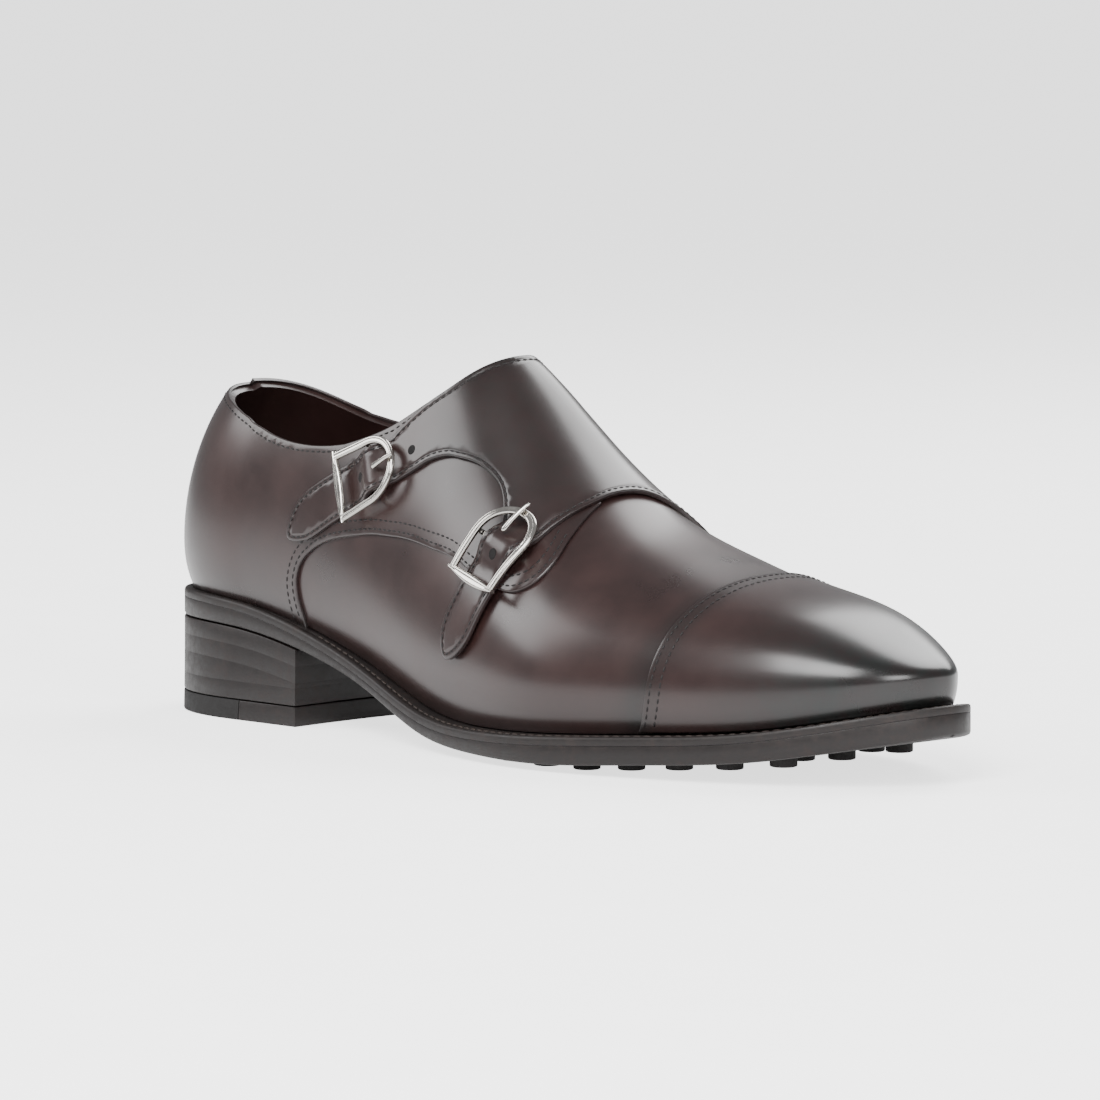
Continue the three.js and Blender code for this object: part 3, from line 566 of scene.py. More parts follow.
def polishedSteel(name, colour, roughness):
    # Nickel-plated steel, polished: bright, with the soft scratches of handling.
    material, tree = newMaterial(name)
    place = addNode(tree, "ShaderNodeTexCoord").outputs["Object"]
    smears = addNode(tree, "ShaderNodeTexNoise", None, Vector=place, Scale=300.0, Detail=5.0)
    rough = ranged(tree, smears.outputs["Fac"], roughness - 0.04, roughness + 0.08, 0.35, 0.7)
    bump = addNode(tree, "ShaderNodeBump", None, Strength=0.05, Distance=0.0001, Height=smears.outputs["Fac"])
    shader = addNode(tree, "ShaderNodeBsdfPrincipled", None, Base_Color=linear(colour), Metallic=1.0,
                     Roughness=rough, Normal=bump.outputs[0])
    addNode(tree, "ShaderNodeOutputMaterial", None, Surface=shader.outputs[0])
    return material


calf = calfLeather("burnished_box_calf", body="#241615", light="#33211f", dark="#130d0d", cool="#0d1110",
                   roughness=0.3, coat=0.35)
foldedCalf = calfLeather("calf_under_flap", body="#2c1b1a", light="#3a2523", dark="#1d1414", cool="#171a19",
                         useBurnish=False)
liningLeather = plainLeather("lining_calf", "#3c302c", "#4a3c37", 0.62)
insoleLeather = plainLeather("insole_leather", "#5a3a2c", "#6f4a38", 0.6)
threadWaxed = plainLeather("waxed_thread", "#0d0808", "#1a1110", 0.6, grain=2500.0)
weltThread = plainLeather("waxed_welt_thread", "#2a201c", "#40332b", 0.6, grain=2500.0)
edgeInk = plainLeather("inked_sole_edge", "#140e0d", "#261b18", 0.45)
weltLeather = plainLeather("inked_welt", "#150f0e", "#2b201c", 0.5)
soleBottomRubber = plainLeather("studded_rubber", "#181515", "#221e1d", 0.75)
heelRubber = plainLeather("heel_rubber", "#141212", "#1f1c1b", 0.7)
silver = polishedSteel("nickel_plated_steel", "#c9c5bf", 0.16)
# painted shade: near-black for the shaded insides of the punched strap holes
holeShade = plainLeather("punched_hole", "#0b0808", "#120d0c", 0.9)
print("materials ready")


# ---- how the polish lies on the leather ----
burnishing = dict(toeFrom=238, toeTo=292, toeDepth=0.95, seam=0.5, seamReach=5.5, low=0.5, lowReach=11,
                  instep=0.5, heel=0.35)
capSeam = dict(seat=225.5, ridge=233.7, lift=0.35, thickness=1.1, rows=(1.5, 4.4))


def burnishAt(points):
    x, y, z = points[:, 0], points[:, 1], points[:, 2]
    above = z - profile["seat"](x)
    toe = burnishing["toeDepth"] * smooth(x, burnishing["toeFrom"], burnishing["toeTo"])
    seamX = capSeam["seat"] + (capSeam["ridge"] - capSeam["seat"]) * smooth(above, 0, 40)
    seam = burnishing["seam"] * np.exp(-((x - seamX) / burnishing["seamReach"]) ** 2)
    low = burnishing["low"] * np.exp(-np.maximum(above, 0) / burnishing["lowReach"])
    instep = burnishing["instep"] * smooth(x, 108, 135) * (1 - smooth(x, 165, 196)) * smooth(above, 45, 75)
    heel = burnishing["heel"] * (1 - smooth(x, 4, 40))
    return np.clip(np.maximum.reduce([toe, seam, instep, heel]) + 0.6 * low, 0, 1)


def edgeBurnish(distance, depth=0.35, reach=3.0):
    return depth * np.exp(-distance / reach)


# ---- vamp: the base layer of the upper, its wall lined on the inside ----
vampSize = dict(around=330, up=56, leather=2.0)


def stationOf(share):  # 0 at the heel back, 1 at the tip of the toe, closer together towards the tip
    split = 0.78
    body = share / split * last["toeStart"]
    turn = (share - split) / (1 - split) * math.pi / 2
    toe = last["toeStart"] + (last["tip"] - last["toeStart"]) * np.sin(turn)
    return np.where(share < split, body, toe)


def makeVamp():
    def place(s, r):
        side = np.where(s < 0.5, outer, inner)
        u = stationOf(np.abs(2 * s - 1))
        top = toplineShare(side, u)
        top = np.where(u < last["throat"] - 6, np.maximum(top - 0.008, 0.3), top)
        return onRib(side, u, r * top)
    piece = wrappedGrid(vampSize["around"], vampSize["up"], place)
    faceAwayFrom(piece, (150, 0, 35))
    points = coords(piece) / mm - shift
    paint(piece, burnishAt(points))
    applied(piece, "SOLIDIFY", thickness=vampSize["leather"] * mm, offset=-1, material_offset=1,
            use_even_offset=True, use_quality_normals=True)
    return finishPiece(piece, "vamp", [calf, liningLeather], ("upper",))


makeVamp()
print("vamp made")


# ---- toe cap ----
def makeToeCap():
    def place(s, r):
        side = np.where(s < 0.5, outer, inner)
        t = 0.02 + 0.98 * (1 - np.abs(2 * s - 1))
        seam = capSeam["seat"] + (capSeam["ridge"] - capSeam["seat"]) * np.sqrt(t)
        u = seam + (last["tip"] - seam) * np.sin(r * math.pi / 2)
        return onRib(side, u, t)
    piece = wrappedGrid(110, 90, place)
    faceAwayFrom(piece, (255, 8, 30))
    points = coords(piece) / mm - shift
    normals = np.empty(len(points) * 3)
    piece.data.vertices.foreach_get("normal", normals)
    setCoords(piece, points + normals.reshape(-1, 3) * capSeam["lift"])
    paint(piece, burnishAt(points))
    applied(piece, "SOLIDIFY", thickness=capSeam["thickness"] * mm, offset=1, use_even_offset=True)
    applied(piece, "BEVEL", width=0.4 * mm, segments=2, limit_method="ANGLE", angle_limit=math.radians(60))
    return finishPiece(piece, "toe_cap_leather", calf, ("toe_cap",))


def onCapSeam(ahead):  # points and normals along the cap's edge, a distance in front of it
    t = np.concatenate([np.linspace(0.06, 1, 90), np.linspace(1, 0.06, 90)[1:]])
    side = np.concatenate([np.full(90, outer), np.full(89, inner)])
    u = capSeam["seat"] + (capSeam["ridge"] - capSeam["seat"]) * np.sqrt(t) + ahead
    step = 0.02
    forward = onRib(side, u + 0.5, t) - onRib(side, u - 0.5, t)
    upward = onRib(side, u, np.minimum(t + step, 1)) - onRib(side, u, t - step)
    normals = np.cross(forward, upward) * -side[:, None]
    normals /= np.linalg.norm(normals, axis=1)[:, None]
    return onRib(side, u, t) + normals * (capSeam["lift"] + capSeam["thickness"]), normals


makeToeCap()
print("toe cap made")


# ---- buckle frames of reference: u from the bar towards the arch, v across, h off the upper ----
def buckleChart(bar, arch):
    step = 0.5
    x, g = (bar[0] + arch[0]) / 2, (bar[1] + arch[1]) / 2

    def at(px, pg):
        return fromChart(np.array([px]), np.array([pg]))[0][0]
    alongX = (at(x + step, g) - at(x - step, g)) / (2 * step)
    alongG = (at(x, g + step) - at(x, g - step)) / (2 * step)
    normal = np.cross(alongX, alongG)
    normal /= np.linalg.norm(normal)
    axis = at(*arch) - at(*bar)
    axis -= normal * axis.dot(normal)
    axis /= np.linalg.norm(axis)
    cross = np.cross(normal, axis)
    metric = np.array([[alongX.dot(alongX), alongX.dot(alongG)], [alongX.dot(alongG), alongG.dot(alongG)]])
    toSteps = np.linalg.inv(metric)
    perU = toSteps @ np.array([axis.dot(alongX), axis.dot(alongG)])
    perV = toSteps @ np.array([cross.dot(alongX), cross.dot(alongG)])
    turn = np.linalg.inv(np.column_stack([perU, perV]))

    def toChart(u, v):
        return bar[0] + perU[0] * u + perV[0] * v, bar[1] + perU[1] * u + perV[1] * v

    def toLocal(px, pg):
        dx, dg = px - bar[0], pg - bar[1]
        return turn[0, 0] * dx + turn[0, 1] * dg, turn[1, 0] * dx + turn[1, 1] * dg
    return dict(toChart=toChart, toLocal=toLocal)


buckles = {"upper": buckleChart((93.4, -60.3), (115, -47.6)),
           "lower": buckleChart((161.8, -62.2), (168.2, -39.4))}
buckleShape = dict(legs=12.6, radius=9.4, barReach=10.9, wireWidth=1.15, wireHeight=1.05, ride=5.6,
                   centreU=12.5, centreHeight=2.4, centreRadius=0.8)
prongShape = dict(start=15.2, reach=9.4, low=6.5, rise=1.0)
strapHump = dict(rise=3, reach=8.5, halfWidth=7.7)
straps = {"upper": dict(root=19, tip=-28.5, lean=0.06, holes=((7.5, 0.4), (28, 0.5))),
          "lower": dict(root=18, tip=-24.5, lean=-0.08, holes=((8.9, -0.4),))}
strapHalfWidth = 6.9
flapThickness = 1.35


def strapEdge(name):
    strap = straps[name]
    middle = (strap["root"] + strap["tip"]) / 2
    half = [(strap["root"], 1), (middle, 1), (strap["tip"] + 10, 1), (strap["tip"] + 4.6, 0.74),
            (strap["tip"] + 1.2, 0.36)]
    one = [(u, strap["lean"] * u - share * strapHalfWidth) for u, share in half]
    other = [(u, strap["lean"] * u + share * strapHalfWidth) for u, share in half]
    local = one + [(strap["tip"], strap["lean"] * strap["tip"])] + other[::-1]
    return [buckles[name]["toChart"](u, v) for u, v in local]


def flapBase(u, g):  # on the upper at the inner side, over the outer quarter and the buckles at the other
    h = 1.3 + (0.06 - 1.3) * smooth(g, -25, 20)
    for frameHere in buckles.values():
        along, across = frameHere["toLocal"](u, g)
        share = np.clip((along - buckleShape["centreU"]) / strapHump["reach"], -1, 1)
        within = 1 - smooth(np.abs(across), strapHump["halfWidth"], strapHump["halfWidth"] + 1)
        h = h + strapHump["rise"] * within * np.cos(share * math.pi / 2) ** 2
    return h


# ---- quarters ----
quarterThickness = 1.1
heelStations = list(range(0, 90, 6))
outerEdge = [(180.5, -15.4), (182.8, -31.4), (183.8, -41), (181.5, -49.5), (175, -56.5), (165, -60.5),
             (155, -62.8), (146, -64.6), (132.5, -69), (116.9, -70.8), (102.9, -71.9), (87.1, -76.4),
             (75.5, -82.7), (71.4, -88.4), (71, -94.8), (72, -100.5), (72.3, float(footG(outer, 72.3)) - 0.6)]
outerQuarter = outlineThrough([
    [(u, toplineG(outer, u)) for u in heelStations] + [(90, -46.5), (105, -38.5), (117, -29), (125, -21.5)],
    [(125, -21.5), (150, -17), (180.5, -15.4)],
    outerEdge,
    [(u, float(footG(outer, u)) - 0.6) for u in (72.3, 60, 45, 30, 15, 0)],
    [(0, float(footG(outer, 0)) - 0.6), (0, toplineG(outer, 0))]])


def onBase(u, g):
    return np.full(np.shape(u), 0.05)


piece, flat, distance = cutPanel(outerQuarter, onBase, quarterThickness, channel=0)
paint(piece, np.clip(burnishAt(coords(piece) / mm - shift) + edgeBurnish(distance), 0, 1))
finishPiece(piece, "outer_quarter", calf)
print("outer quarter made")

innerSeam = [(189, 36)] + [(x, gAtHeight(inner, x, z)) for x, z in (
    (175, 61.5), (150, 66), (125, 64), (100, 60), (85, 54), (75, 45), (71, 34))]
upperStrap, lowerStrap = strapEdge("upper"), strapEdge("lower")
flapFront = [(189, 36), (190, 32), (188.5, 22), (184.5, 10), (181.5, 0), (180.3, -10), (179.5, -21),
             lowerStrap[0]]
flapTop = [upperStrap[-1], (111.5, -37.5), (117, -31), (124, -23.5), (130, -14), (134, -5), (134.5, 2),
           (131, 10), (125, 18), (117, 26), (105, 34.5), (90, 42.5)]
innerQuarter = outlineThrough([
    flapTop + [(u, toplineG(inner, u)) for u in heelStations[::-1]],
    [(0, toplineG(inner, 0)), (0, float(footG(inner, 0)) + 0.6)],
    [(u, float(footG(inner, u)) + 0.6) for u in (0, 15, 30, 45, 60, 72.5)],
    [(72.5, float(footG(inner, 72.5)) + 0.6)] + innerSeam[::-1],
    flapFront,
    lowerStrap,
    [lowerStrap[-1], (157.6, -37.5), (152.9, -35.6), (145.4, -36.6), (137.1, -40), (133, -41.7),
     (126, -46.1), (120.6, -50.5), upperStrap[0]],
    upperStrap], step=1.5)
piece, flat, distance = cutPanel(innerQuarter, flapBase, flapThickness)
paint(piece, np.clip(burnishAt(coords(piece) / mm - shift) + edgeBurnish(distance), 0, 1))
finishPiece(piece, "inner_quarter_and_straps", calf, ("strap_flap",))
print("inner quarter made")

# ---- tongue ----
tongueOutline = outlineThrough([
    [(140, -26), (138, 0), (140, 24)], [(140, 24), (168, 29), (192, 20)], [(192, 20), (196, 0), (192, -22)],
    [(192, -22), (168, -32), (140, -26)]], 2)


def underUpper(u, g):
    return np.full(np.shape(u), -5.8)


piece, flat, distance = cutPanel(tongueOutline, underUpper, 2, cell=3)
finishPiece(piece, "tongue_leather", foldedCalf, ("tongue",))


# ---- metal of the buckles ----
def sweep(name, frameHere, path, sides, section, stages):
    path = np.array(path, float)
    lengths = np.concatenate([[0], np.cumsum(np.linalg.norm(np.diff(path[:, :3], axis=0), axis=1))])

    def place(s, r):
        mark = s * lengths[-1]
        u, v, h, width, height = [np.interp(mark, lengths, path[:, k]) for k in range(5)]
        ahead, behind = np.minimum(mark + 0.3, lengths[-1]), np.maximum(mark - 0.3, 0)
        du = np.interp(ahead, lengths, path[:, 0]) - np.interp(behind, lengths, path[:, 0])
        dv = np.interp(ahead, lengths, path[:, 1]) - np.interp(behind, lengths, path[:, 1])
        size = np.hypot(du, dv) + 1e-9
        across, up = section(r * 2 * math.pi)
        x, g = frameHere["toChart"](u - dv / size * across * width, v + du / size * across * width)
        return fromChart(x, g, h + up * height)[0]
    piece = wrappedGrid(stages, sides, place, caps=True)
    return finishPiece(piece, name, silver, smoothAngle=60)


def roundSection(angle):
    return np.cos(angle), np.sin(angle)


def ridgedSection(angle):  # a hollow runs along the middle of the top, between two rims
    across, up = np.cos(angle), np.sin(angle)
    return across, np.where(up > 0, up * (1 - 0.42 * np.exp(-(across / 0.36) ** 2)), up)


def joined(pieces, name, *nodes):
    bpy.ops.object.select_all(action="DESELECT")
    for piece in pieces:
        piece.select_set(True)
    bpy.context.view_layer.objects.active = pieces[0]
    bpy.ops.object.join()
    pieces[0].name = name
    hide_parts(*nodes)


def makeBuckle(name):
    frameHere, shape = buckles[name], buckleShape
    size = (shape["ride"], shape["wireWidth"], shape["wireHeight"])
    bend = np.linspace(-math.pi / 2, math.pi / 2, 41)
    arch = ([(u, -shape["radius"], *size) for u in np.linspace(0, shape["legs"], 8)[:-1]]
            + [(shape["legs"] + (shape["radius"] + 0.3) * math.cos(a), shape["radius"] * math.sin(a), *size)
               for a in bend]
            + [(u, shape["radius"], *size) for u in np.linspace(shape["legs"], 0, 8)[1:]])
    reach = shape["barReach"]
    bar = [(0, v, shape["ride"], 0.45 + 1.05 * math.cos(v / reach * math.pi / 2), shape["wireHeight"] * 1.02)
           for v in np.linspace(-reach, reach, 31)]
    centre = [(shape["centreU"], v, shape["ride"] - 0.1 + (shape["centreHeight"] - shape["ride"] + 0.1)
               * (1 - float(smooth(abs(v), 7.9, 9.2))), shape["centreRadius"], shape["centreRadius"])
              for v in np.linspace(-9.3, 9.3, 31)]
    ring = [sweep(name + "_arch", frameHere, arch, 20, ridgedSection, 90),
            sweep(name + "_bar", frameHere, bar, 20, ridgedSection, 34),
            sweep(name + "_centre", frameHere, centre, 12, roundSection, 30)]
    joined(ring, name + "_buckle_ring", name + "_buckle_frame")
    prong = []
    for share in np.linspace(0, 1, 17):
        width = 0.95 * (1 - 0.35 * share) if 0.02 < share < 0.99 else 0.5
        height = prongShape["low"] + prongShape["rise"] * math.sin(share * math.pi / 2)
        along = prongShape["start"] + prongShape["reach"] * share
        prong.append((along, 0, height, width, 0.72 * width / 0.95))
    piece = sweep(name + "_prong", frameHere, prong, 12, roundSection, 24)
    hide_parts(name + "_buckle_prong")


for name in buckles:
    makeBuckle(name)
print("buckles made")


# ---- punched holes in the straps: near-black discs of painted shade laid on the strap, no hole cut ----
def makeHoleShade(name, number, u, v):
    frameHere = buckles[name]

    def place(s, r):
        angle = s * 2 * math.pi
        radius = np.interp(r, [0, 0.45, 0.6, 0.8, 1], [0.02, 0.85, 1.0, 1.25, 1.5])
        rise = np.interp(r, [0, 0.45, 0.6, 0.8, 1], [0.02, 0.02, 0.1, 0.14, 0.0])
        x, g = frameHere["toChart"](u + radius * np.cos(angle), v + radius * np.sin(angle))
        return fromChart(x, g, flapBase(x, g) + flapThickness + rise)[0]
    # painted shade: a near-black disc laid on the strap's face stands for the shaded inside of a punched hole;
    # no hole is cut through the strap
    piece = wrappedGrid(20, 8, place)
    faceAwayFrom(piece, (130, 0, 40))
    finishPiece(piece, f"{name}_strap_hole_{number}", holeShade)


for name, strap in straps.items():
    for number, (u, v) in enumerate(strap["holes"]):
        makeHoleShade(name, number, u, v + strap["lean"] * u * 0.5)


# ---- bottom: welt, outsole with studs, heel, insole ----
sole = dict(weltThickness=2.4, studHeight=2.2, studRadius=4, firstStud=158, studStep=15,
            studRows=8, studMargin=14, heelBreast=71.5, heelFootHalfWidth=32, heelBackTaper=2, topLift=6,
            rubberJoint=46, liftGap=0.3, insoleInset=2.9,
            heelTop=30)  # heights over 12 mm in a ring list are counted down from the sole at heelTop


def soleBottom(x):
    return profile["seat"](x) - profile["thick"](x)


def outlineStation(share):  # 0 and 1 at the tip of the toe, the outer side first, the heel back half way
    side = np.where(share < 0.5, outer, inner)
    u = stationOf(np.abs(1 - 2 * share))
    return side, u


def edgeOut(side, u):
    return bySide(edge, side, u)


def soleLoop(name, rings, heights, material, nodes, around=360, smoothAngle=40):
    # rings: how far in from the sole's edge, or None for the middle line; heights: z for each, from x
    insets = np.array([-1.0 if inset is None else inset for inset in rings])

    def place(s, r):
        side, u = outlineStation(s)
        k = np.round(r * (len(rings) - 1)).astype(int)
        inset = insets[k]
        edgeX, edgeY = seatEdge(side, u, edgeOut(side, u) - np.maximum(inset, 0))
        oppositeX, oppositeY = seatEdge(-side, u, edgeOut(-side, u) - np.maximum(inset, 0))
        middleX, middleY = (edgeX + oppositeX) / 2, (edgeY + oppositeY) / 2
        x = np.where(inset < 0, middleX, edgeX)
        y = np.where(inset < 0, middleY, edgeY)
        z = np.zeros(len(x))
        for number, height in enumerate(heights):
            z = np.where(k == number, height(x), z)
        return np.stack([x, y, z], 1)
    piece = wrappedGrid(around, len(rings) - 1, place, closed=True)
    return finishPiece(piece, name, material, nodes, smoothAngle)


def at(base, rise):
    return lambda x: base(x) + rise


def plateTop(x):
    return profile["seat"](x) - sole["weltThickness"] - last["gap"]


def weltTop(x):
    return profile["seat"](x)


# the welt's top carries the stitch channel; the welt and the outsole are trimmed together to one flush edge
weltLow = at(weltTop, -sole["weltThickness"] - 0.2)
soleLoop("welt_strip",
         [10, 10, 4.0, 3.3, 2.9, 2.5, 1.9, 1.1, 0.45, 0.1, 0.0, 0.0, 0.05, 10],
         [weltLow, at(weltTop, -0.1), at(weltTop, -0.1), at(weltTop, -0.12), at(weltTop, -0.32),
          at(weltTop, -0.12), at(weltTop, -0.02), weltTop, at(weltTop, -0.12), at(weltTop, -0.5),
          at(weltTop, -1.2), at(weltTop, -2.4), weltLow, weltLow],
         weltLeather, ("welt",))
soleLoop("outsole_plate",
         [None, 22, 10, 1.2, 0.35, 0.0, 0.0, 0.06, 2, 12, None],
         [soleBottom, soleBottom, soleBottom, soleBottom, at(soleBottom, 0.25), at(soleBottom, 0.9),
          at(plateTop, -0.15), plateTop, plateTop, plateTop, plateTop],
         edgeInk, ("outsole",))
print("welt and outsole made")


def makeStuds():
    studs = []
    for row in range(sole["studRows"]):
        x = sole["firstStud"] + row * sole["studStep"]
        low = float(seatEdge(outer, x, edge["outer"](x))[1]) + sole["studMargin"]
        high = float(seatEdge(inner, x, edge["inner"](x))[1]) - sole["studMargin"]
        foot = max(0.0, float(soleBottom(x)) - sole["studHeight"])
        head = float(soleBottom(x)) + 0.8
        for y in np.linspace(low, high, 3):
            bpy.ops.object.select_all(action="DESELECT")
            centre = (np.array([x, y, (foot + head) / 2]) + shift) * mm
            bpy.ops.mesh.primitive_cylinder_add(vertices=20, radius=sole["studRadius"] * mm,
                                                depth=(head - foot) * mm, location=centre)
            bpy.ops.object.transform_apply(location=True, rotation=False, scale=False)
            stud = bpy.context.object
            bpy.ops.object.mode_set(mode="EDIT")
            bpy.ops.mesh.select_mode(type="FACE")
            bpy.ops.mesh.select_all(action="DESELECT")
            bpy.ops.object.mode_set(mode="OBJECT")
            for face in stud.data.polygons:
                face.select = face.normal.z < -0.9
            bpy.ops.object.mode_set(mode="EDIT")
            bpy.ops.mesh.bevel(offset=0.5 * mm, segments=2)
            bpy.ops.object.mode_set(mode="OBJECT")
            studs.append(stud)
    bpy.ops.object.select_all(action="DESELECT")
    for stud in studs:
        stud.select_set(True)
    bpy.context.view_layer.objects.active = studs[0]
    bpy.ops.object.join()
    finishPiece(studs[0], "sole_studs", soleBottomRubber)


makeStuds()


def heelBlock(name, rings, front, back, material, nodes, around=200):
    # rings: (z, or a rise over or under the sole's bottom, and how far in from the block's side)
    def place(s, r):
        k = np.round(r * (len(rings) - 1)).astype(int)
        zs = np.array([ring[0] for ring in rings])[k]
        insets = np.array([ring[1] for ring in rings])[k]
        follows = np.array([ring[0] > 12 for ring in rings])[k]
        span = 0.8 if back is None else 0.4
        turn = np.clip(s / span, 0, 1)
        if back is None:
            side = np.where(turn < 0.5, outer, inner)
            u = front * np.abs(1 - 2 * turn)
        else:
            side = np.where(s < 0.5, outer, inner)
            forward = np.clip((s - 0.5) / 0.4, 0, 1)
            u = np.where(s < 0.5, front + (back - front) * turn, back + (front - back) * forward)
        point = heelPlan(side, u, zs, insets, follows, front)
        corners = [heelPlan(np.full(len(s), way), np.full(len(s), float(front)), zs, insets, follows, front)
                   for way in (inner, outer)]
        if back is None:
            across = np.clip((s - 0.8) / 0.2, 0, 1)[:, None]
            inFront = corners[0] * (1 - across) + corners[1] * across
            inFront[:, 0] -= 1.6 * np.sin(across[:, 0] * math.pi)
            return np.where((s > 0.8)[:, None], inFront, point)
        behind = [heelPlan(np.full(len(s), way), np.full(len(s), float(back)), zs, insets, follows, front)
                  for way in (outer, inner)]
        first = np.clip((s - 0.4) / 0.1, 0, 1)[:, None]
        second = np.clip((s - 0.9) / 0.1, 0, 1)[:, None]
        joint = behind[0] * (1 - first) + behind[1] * first
        breast = corners[0] * (1 - second) + corners[1] * second
        breast[:, 0] -= 1.6 * np.sin(second[:, 0] * math.pi)
        point = np.where(((s > 0.4) & (s < 0.5))[:, None], joint, point)
        return np.where((s > 0.9)[:, None], breast, point)
    piece = wrappedGrid(around, len(rings) - 1, place, caps=True)
    return finishPiece(piece, name, material, nodes, smoothAngle=35)


def heelPlan(side, u, z, inset, follows, front):
    centre = last["heelCentre"]
    depth = centre - last["back"] + 1.5 - sole["heelBackTaper"]
    halfWidth = np.full(np.shape(u), float(sole["heelFootHalfWidth"]))
    fanX, fanY = heelPoint(side, np.minimum(u, centre), depth, halfWidth)
    footX = np.where(u < centre, fanX, u)
    footY = np.where(u < centre, fanY, side * halfWidth)
    topX, topY = seatEdge(side, u, edgeOut(side, u))
    reach = soleBottom(footX)
    z = np.where(follows, reach - (sole["heelTop"] - z), z)
    rise = z / reach
    x, y = footX + (topX - footX) * rise, footY + (topY - footY) * rise
    away = np.hypot(x - centre, y)
    x = x + (centre - x) / away * inset
    y = y - y / away * inset
    return np.stack([x, y, z], 1)




def liftRings(low, high, joints):
    rings = [(low, 0.5), (low + 0.12, 0.15), (low + 0.5, 0.0)]
    for joint in joints:
        rings += [(joint - 0.15, 0.0), (joint - 0.04, 0.02), (joint + 0.04, 0.02), (joint + 0.15, 0.0)]
    return rings + [(high - 0.4, 0.0), (high - 0.1, 0.12), (high, 0.4)]


heelBlock("stacked_heel", liftRings(sole["topLift"] + sole["liftGap"], 29.7, (11.6, 19.5, 24.6)),
          sole["heelBreast"], None, edgeInk, ("heel_stack",))
heelBlock("heel_top_lift", liftRings(0, sole["topLift"], ()), sole["heelBreast"],
          sole["rubberJoint"] + sole["liftGap"], edgeInk, ("top_lift",))
heelBlock("heel_top_lift_rubber", liftRings(0, sole["topLift"], ()), sole["rubberJoint"], None,
          heelRubber, ("top_lift_rubber",))
print("heel made")


def makeInsole():
    rings = [None, 12, 3, 0.6, 0.15, 0, 0, 0.5, 12, None]
    base = 2 * last["gap"]
    lifts = [base, base, base, base, base + 0.3, base + 0.8, base + 1.8, base + 2.6, base + 2.6, base + 2.6]

    def place(s, r):
        side, u = outlineStation(s)
        k = np.round(r * (len(rings) - 1)).astype(int)
        inset = np.array([-1.0 if ring is None else ring for ring in rings])[k]
        out = -sole["insoleInset"] - np.maximum(inset, 0)
        edgeX, edgeY = seatEdge(side, u, out)
        otherX, otherY = seatEdge(-side, u, out)
        x = np.where(inset < 0, (edgeX + otherX) / 2, edgeX)
        y = np.where(inset < 0, (edgeY + otherY) / 2, edgeY)
        return np.stack([x, y, profile["seat"](x) + np.array(lifts)[k]], 1)
    piece = wrappedGrid(240, len(rings) - 1, place, closed=True)
    finishPiece(piece, "insole_leather", insoleLeather, ("insole",))


makeInsole()

# ---- stitching ----
fineThread = threadModel(1.7, 0.62, 0.5)
heavyThread = threadModel(2.5, 0.85, 0.7)
finePitch, weltPitch = 2.3, 3.3


def overQuarter(u, g):
    return 0.05 + quarterThickness - 0.02 + np.zeros(np.shape(u))


def overFlap(u, g):
    return flapBase(u, g) + flapThickness - 0.04


def part(outline, start, end):  # the stretch of a closed outline that runs between two places
    nearest = [int(np.argmin(np.linalg.norm(outline - np.array(place), axis=1))) for place in (start, end)]
    first, final = nearest
    return outline[first:final + 1] if final >= first else np.vstack([outline[first:], outline[:final + 1]])


capRows = [onCapSeam(ahead) for ahead in capSeam["rows"]]
stitchPiece("cap_stitching", capRows, fineThread, finePitch, threadWaxed)

outerRow = pathThrough(outerEdge[1:-1], 1.0)
stitchPiece("outer_quarter_stitching",
            [chartRow(offsetPath(outerRow, way), overQuarter) for way in (-1.6, -4.3)],
            fineThread, finePitch, threadWaxed)
innerRow = pathThrough(innerSeam, 1.0)
stitchPiece("inner_quarter_stitching",
            [chartRow(offsetPath(innerRow, way), overFlap) for way in (1.6, 4.3)],
            fineThread, finePitch, threadWaxed)
strapRows = [part(innerQuarter, (111.5, -37.5), (179.5, -21)), part(innerQuarter, (179.5, -21), (189, 36))]
stitchPiece("strap_stitching", [chartRow(offsetPath(row, 1.25), overFlap) for row in strapRows],
            fineThread, finePitch, threadWaxed)
topRowInner = part(innerQuarter, (1.5, toplineG(inner, 1.5)), (111.5, -37.5))
topRowOuter = np.array([(u, toplineG(outer, u)) for u in range(1, 90, 3)]
                       + [(90, -46.5), (105, -38.5), (113, -32)])
stitchPiece("topline_stitching",
            [chartRow(offsetPath(topRowInner, 1.9), overFlap),
             chartRow(offsetPath(topRowOuter, -1.9), overQuarter)],
            fineThread, finePitch, threadWaxed)


def weltRow():
    share = np.concatenate([np.linspace(0, 0.5 - 0.135, 400), np.linspace(0.5 + 0.135, 1, 400)])
    rows = []
    for picked in (share[:400], share[400:]):
        side, u = outlineStation(picked)
        x, y = seatEdge(side, u, edgeOut(side, u) - 2.9)
        points = np.stack([x, y, weltTop(x) - 0.12], 1)
        rows.append((points, np.tile([0, 0, 1.0], (len(points), 1))))
    return rows


stitchPiece("welt_stitching", weltRow(), heavyThread, weltPitch, weltThread)
print("stitching made")

for name in ("upper_buckle_tab", "lower_buckle_tab"):
    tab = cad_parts[name]
    tab.data.materials.clear()
    tab.data.materials.append(foldedCalf)


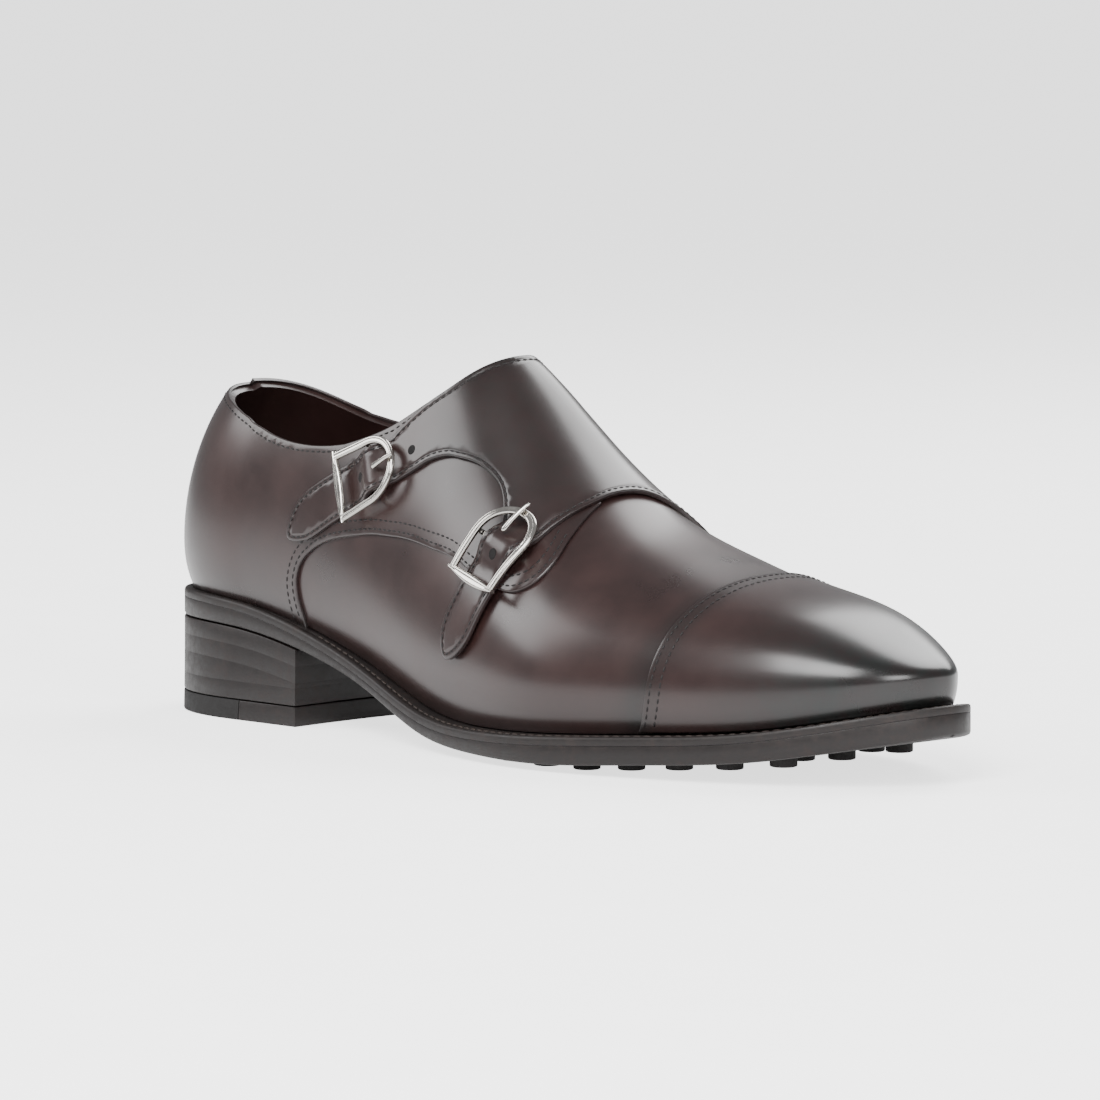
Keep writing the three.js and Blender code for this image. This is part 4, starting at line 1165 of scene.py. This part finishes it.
# ---- floor, light and camera ----
def stageMaterial():
    material, tree = newMaterial("matte_paper")
    place = addNode(tree, "ShaderNodeTexCoord").outputs["Object"]
    tooth = addNode(tree, "ShaderNodeTexNoise", None, Vector=place, Scale=30.0, Detail=3.0)
    share = ranged(tree, tooth.outputs["Fac"], 0.0, 1.0, 0.3, 0.7)
    colour = mixed(tree, share, linear("#f6f6f6"), linear("#fafafa"))
    # bright to the camera, so the sweep reads as white, and dim to the shoe's underside
    seen = addNode(tree, "ShaderNodeLightPath").outputs["Is Camera Ray"]
    glow = ranged(tree, seen, 0.35, 1.9)
    shader = addNode(tree, "ShaderNodeBsdfPrincipled", None, Base_Color=colour, Roughness=0.85,
                     Emission_Color=linear("#ffffff"), Emission_Strength=glow)
    addNode(tree, "ShaderNodeOutputMaterial", None, Surface=shader.outputs[0])
    return material


bpy.ops.object.select_all(action="DESELECT")
bpy.ops.mesh.primitive_plane_add(size=60)
floor = bpy.context.object
floor.name = "floor"
floor.data.materials.append(stageMaterial())

world = bpy.data.worlds.new("studio")
bpy.context.scene.world = world
world.use_nodes = True
sky = world.node_tree
sky.nodes.clear()
path = addNode(sky, "ShaderNodeLightPath")
around = addNode(sky, "ShaderNodeBackground", None, Color=linear("#f2f3f5"), Strength=0.36)
backdrop = addNode(sky, "ShaderNodeBackground", None, Color=linear("#ffffff"), Strength=6.0)
both = addNode(sky, "ShaderNodeMixShader", None, i0=path.outputs["Is Camera Ray"], i1=around.outputs[0],
               i2=backdrop.outputs[0])
addNode(sky, "ShaderNodeOutputWorld", None, Surface=both.outputs[0])

lights = dict(key=((0.5, -1.0, 1.1), 0.8, 30), left=((-1.0, -0.7, 0.8), 0.7, 9),
              back=((-0.1, 1.1, 1.1), 1.0, 22),
              front=((1.3, -0.3, 0.55), 0.5, 8))
for name, (place, size, power) in lights.items():
    lamp = bpy.data.lights.new(name, "AREA")
    lamp.energy = power
    lamp.size = size
    lampObject = bpy.data.objects.new(name, lamp)
    lampObject.location = place
    lampObject.rotation_euler = (Vector((0, 0, 0.04)) - Vector(place)).to_track_quat("-Z", "Y").to_euler()
    bpy.context.scene.collection.objects.link(lampObject)

view = dict(azimuth=44.5, elevation=4.1, distance=2200, lens=245, aside=35.4, above=63.2)
azimuth, elevation = math.radians(view["azimuth"]), math.radians(view["elevation"])
back = Vector((math.sin(azimuth) * math.cos(elevation), -math.cos(azimuth) * math.cos(elevation),
               math.sin(elevation)))
right = Vector((math.cos(azimuth), math.sin(azimuth), 0))
up = back.cross(right)
middle = Vector((np.array([150, 0, 50]) + shift) * mm)
camera = bpy.data.objects.new("camera", bpy.data.cameras.new("camera"))
camera.data.lens = view["lens"]
camera.data.sensor_width = 36
camera.location = middle + (back * view["distance"] + right * view["aside"] + up * view["above"]) * mm
aim = (Vector(cadBox[0]) + Vector(cadBox[1])) / 2
camera.rotation_euler = (aim - camera.location).to_track_quat("-Z", "Y").to_euler()
bpy.context.scene.collection.objects.link(camera)
bpy.context.scene.camera = camera
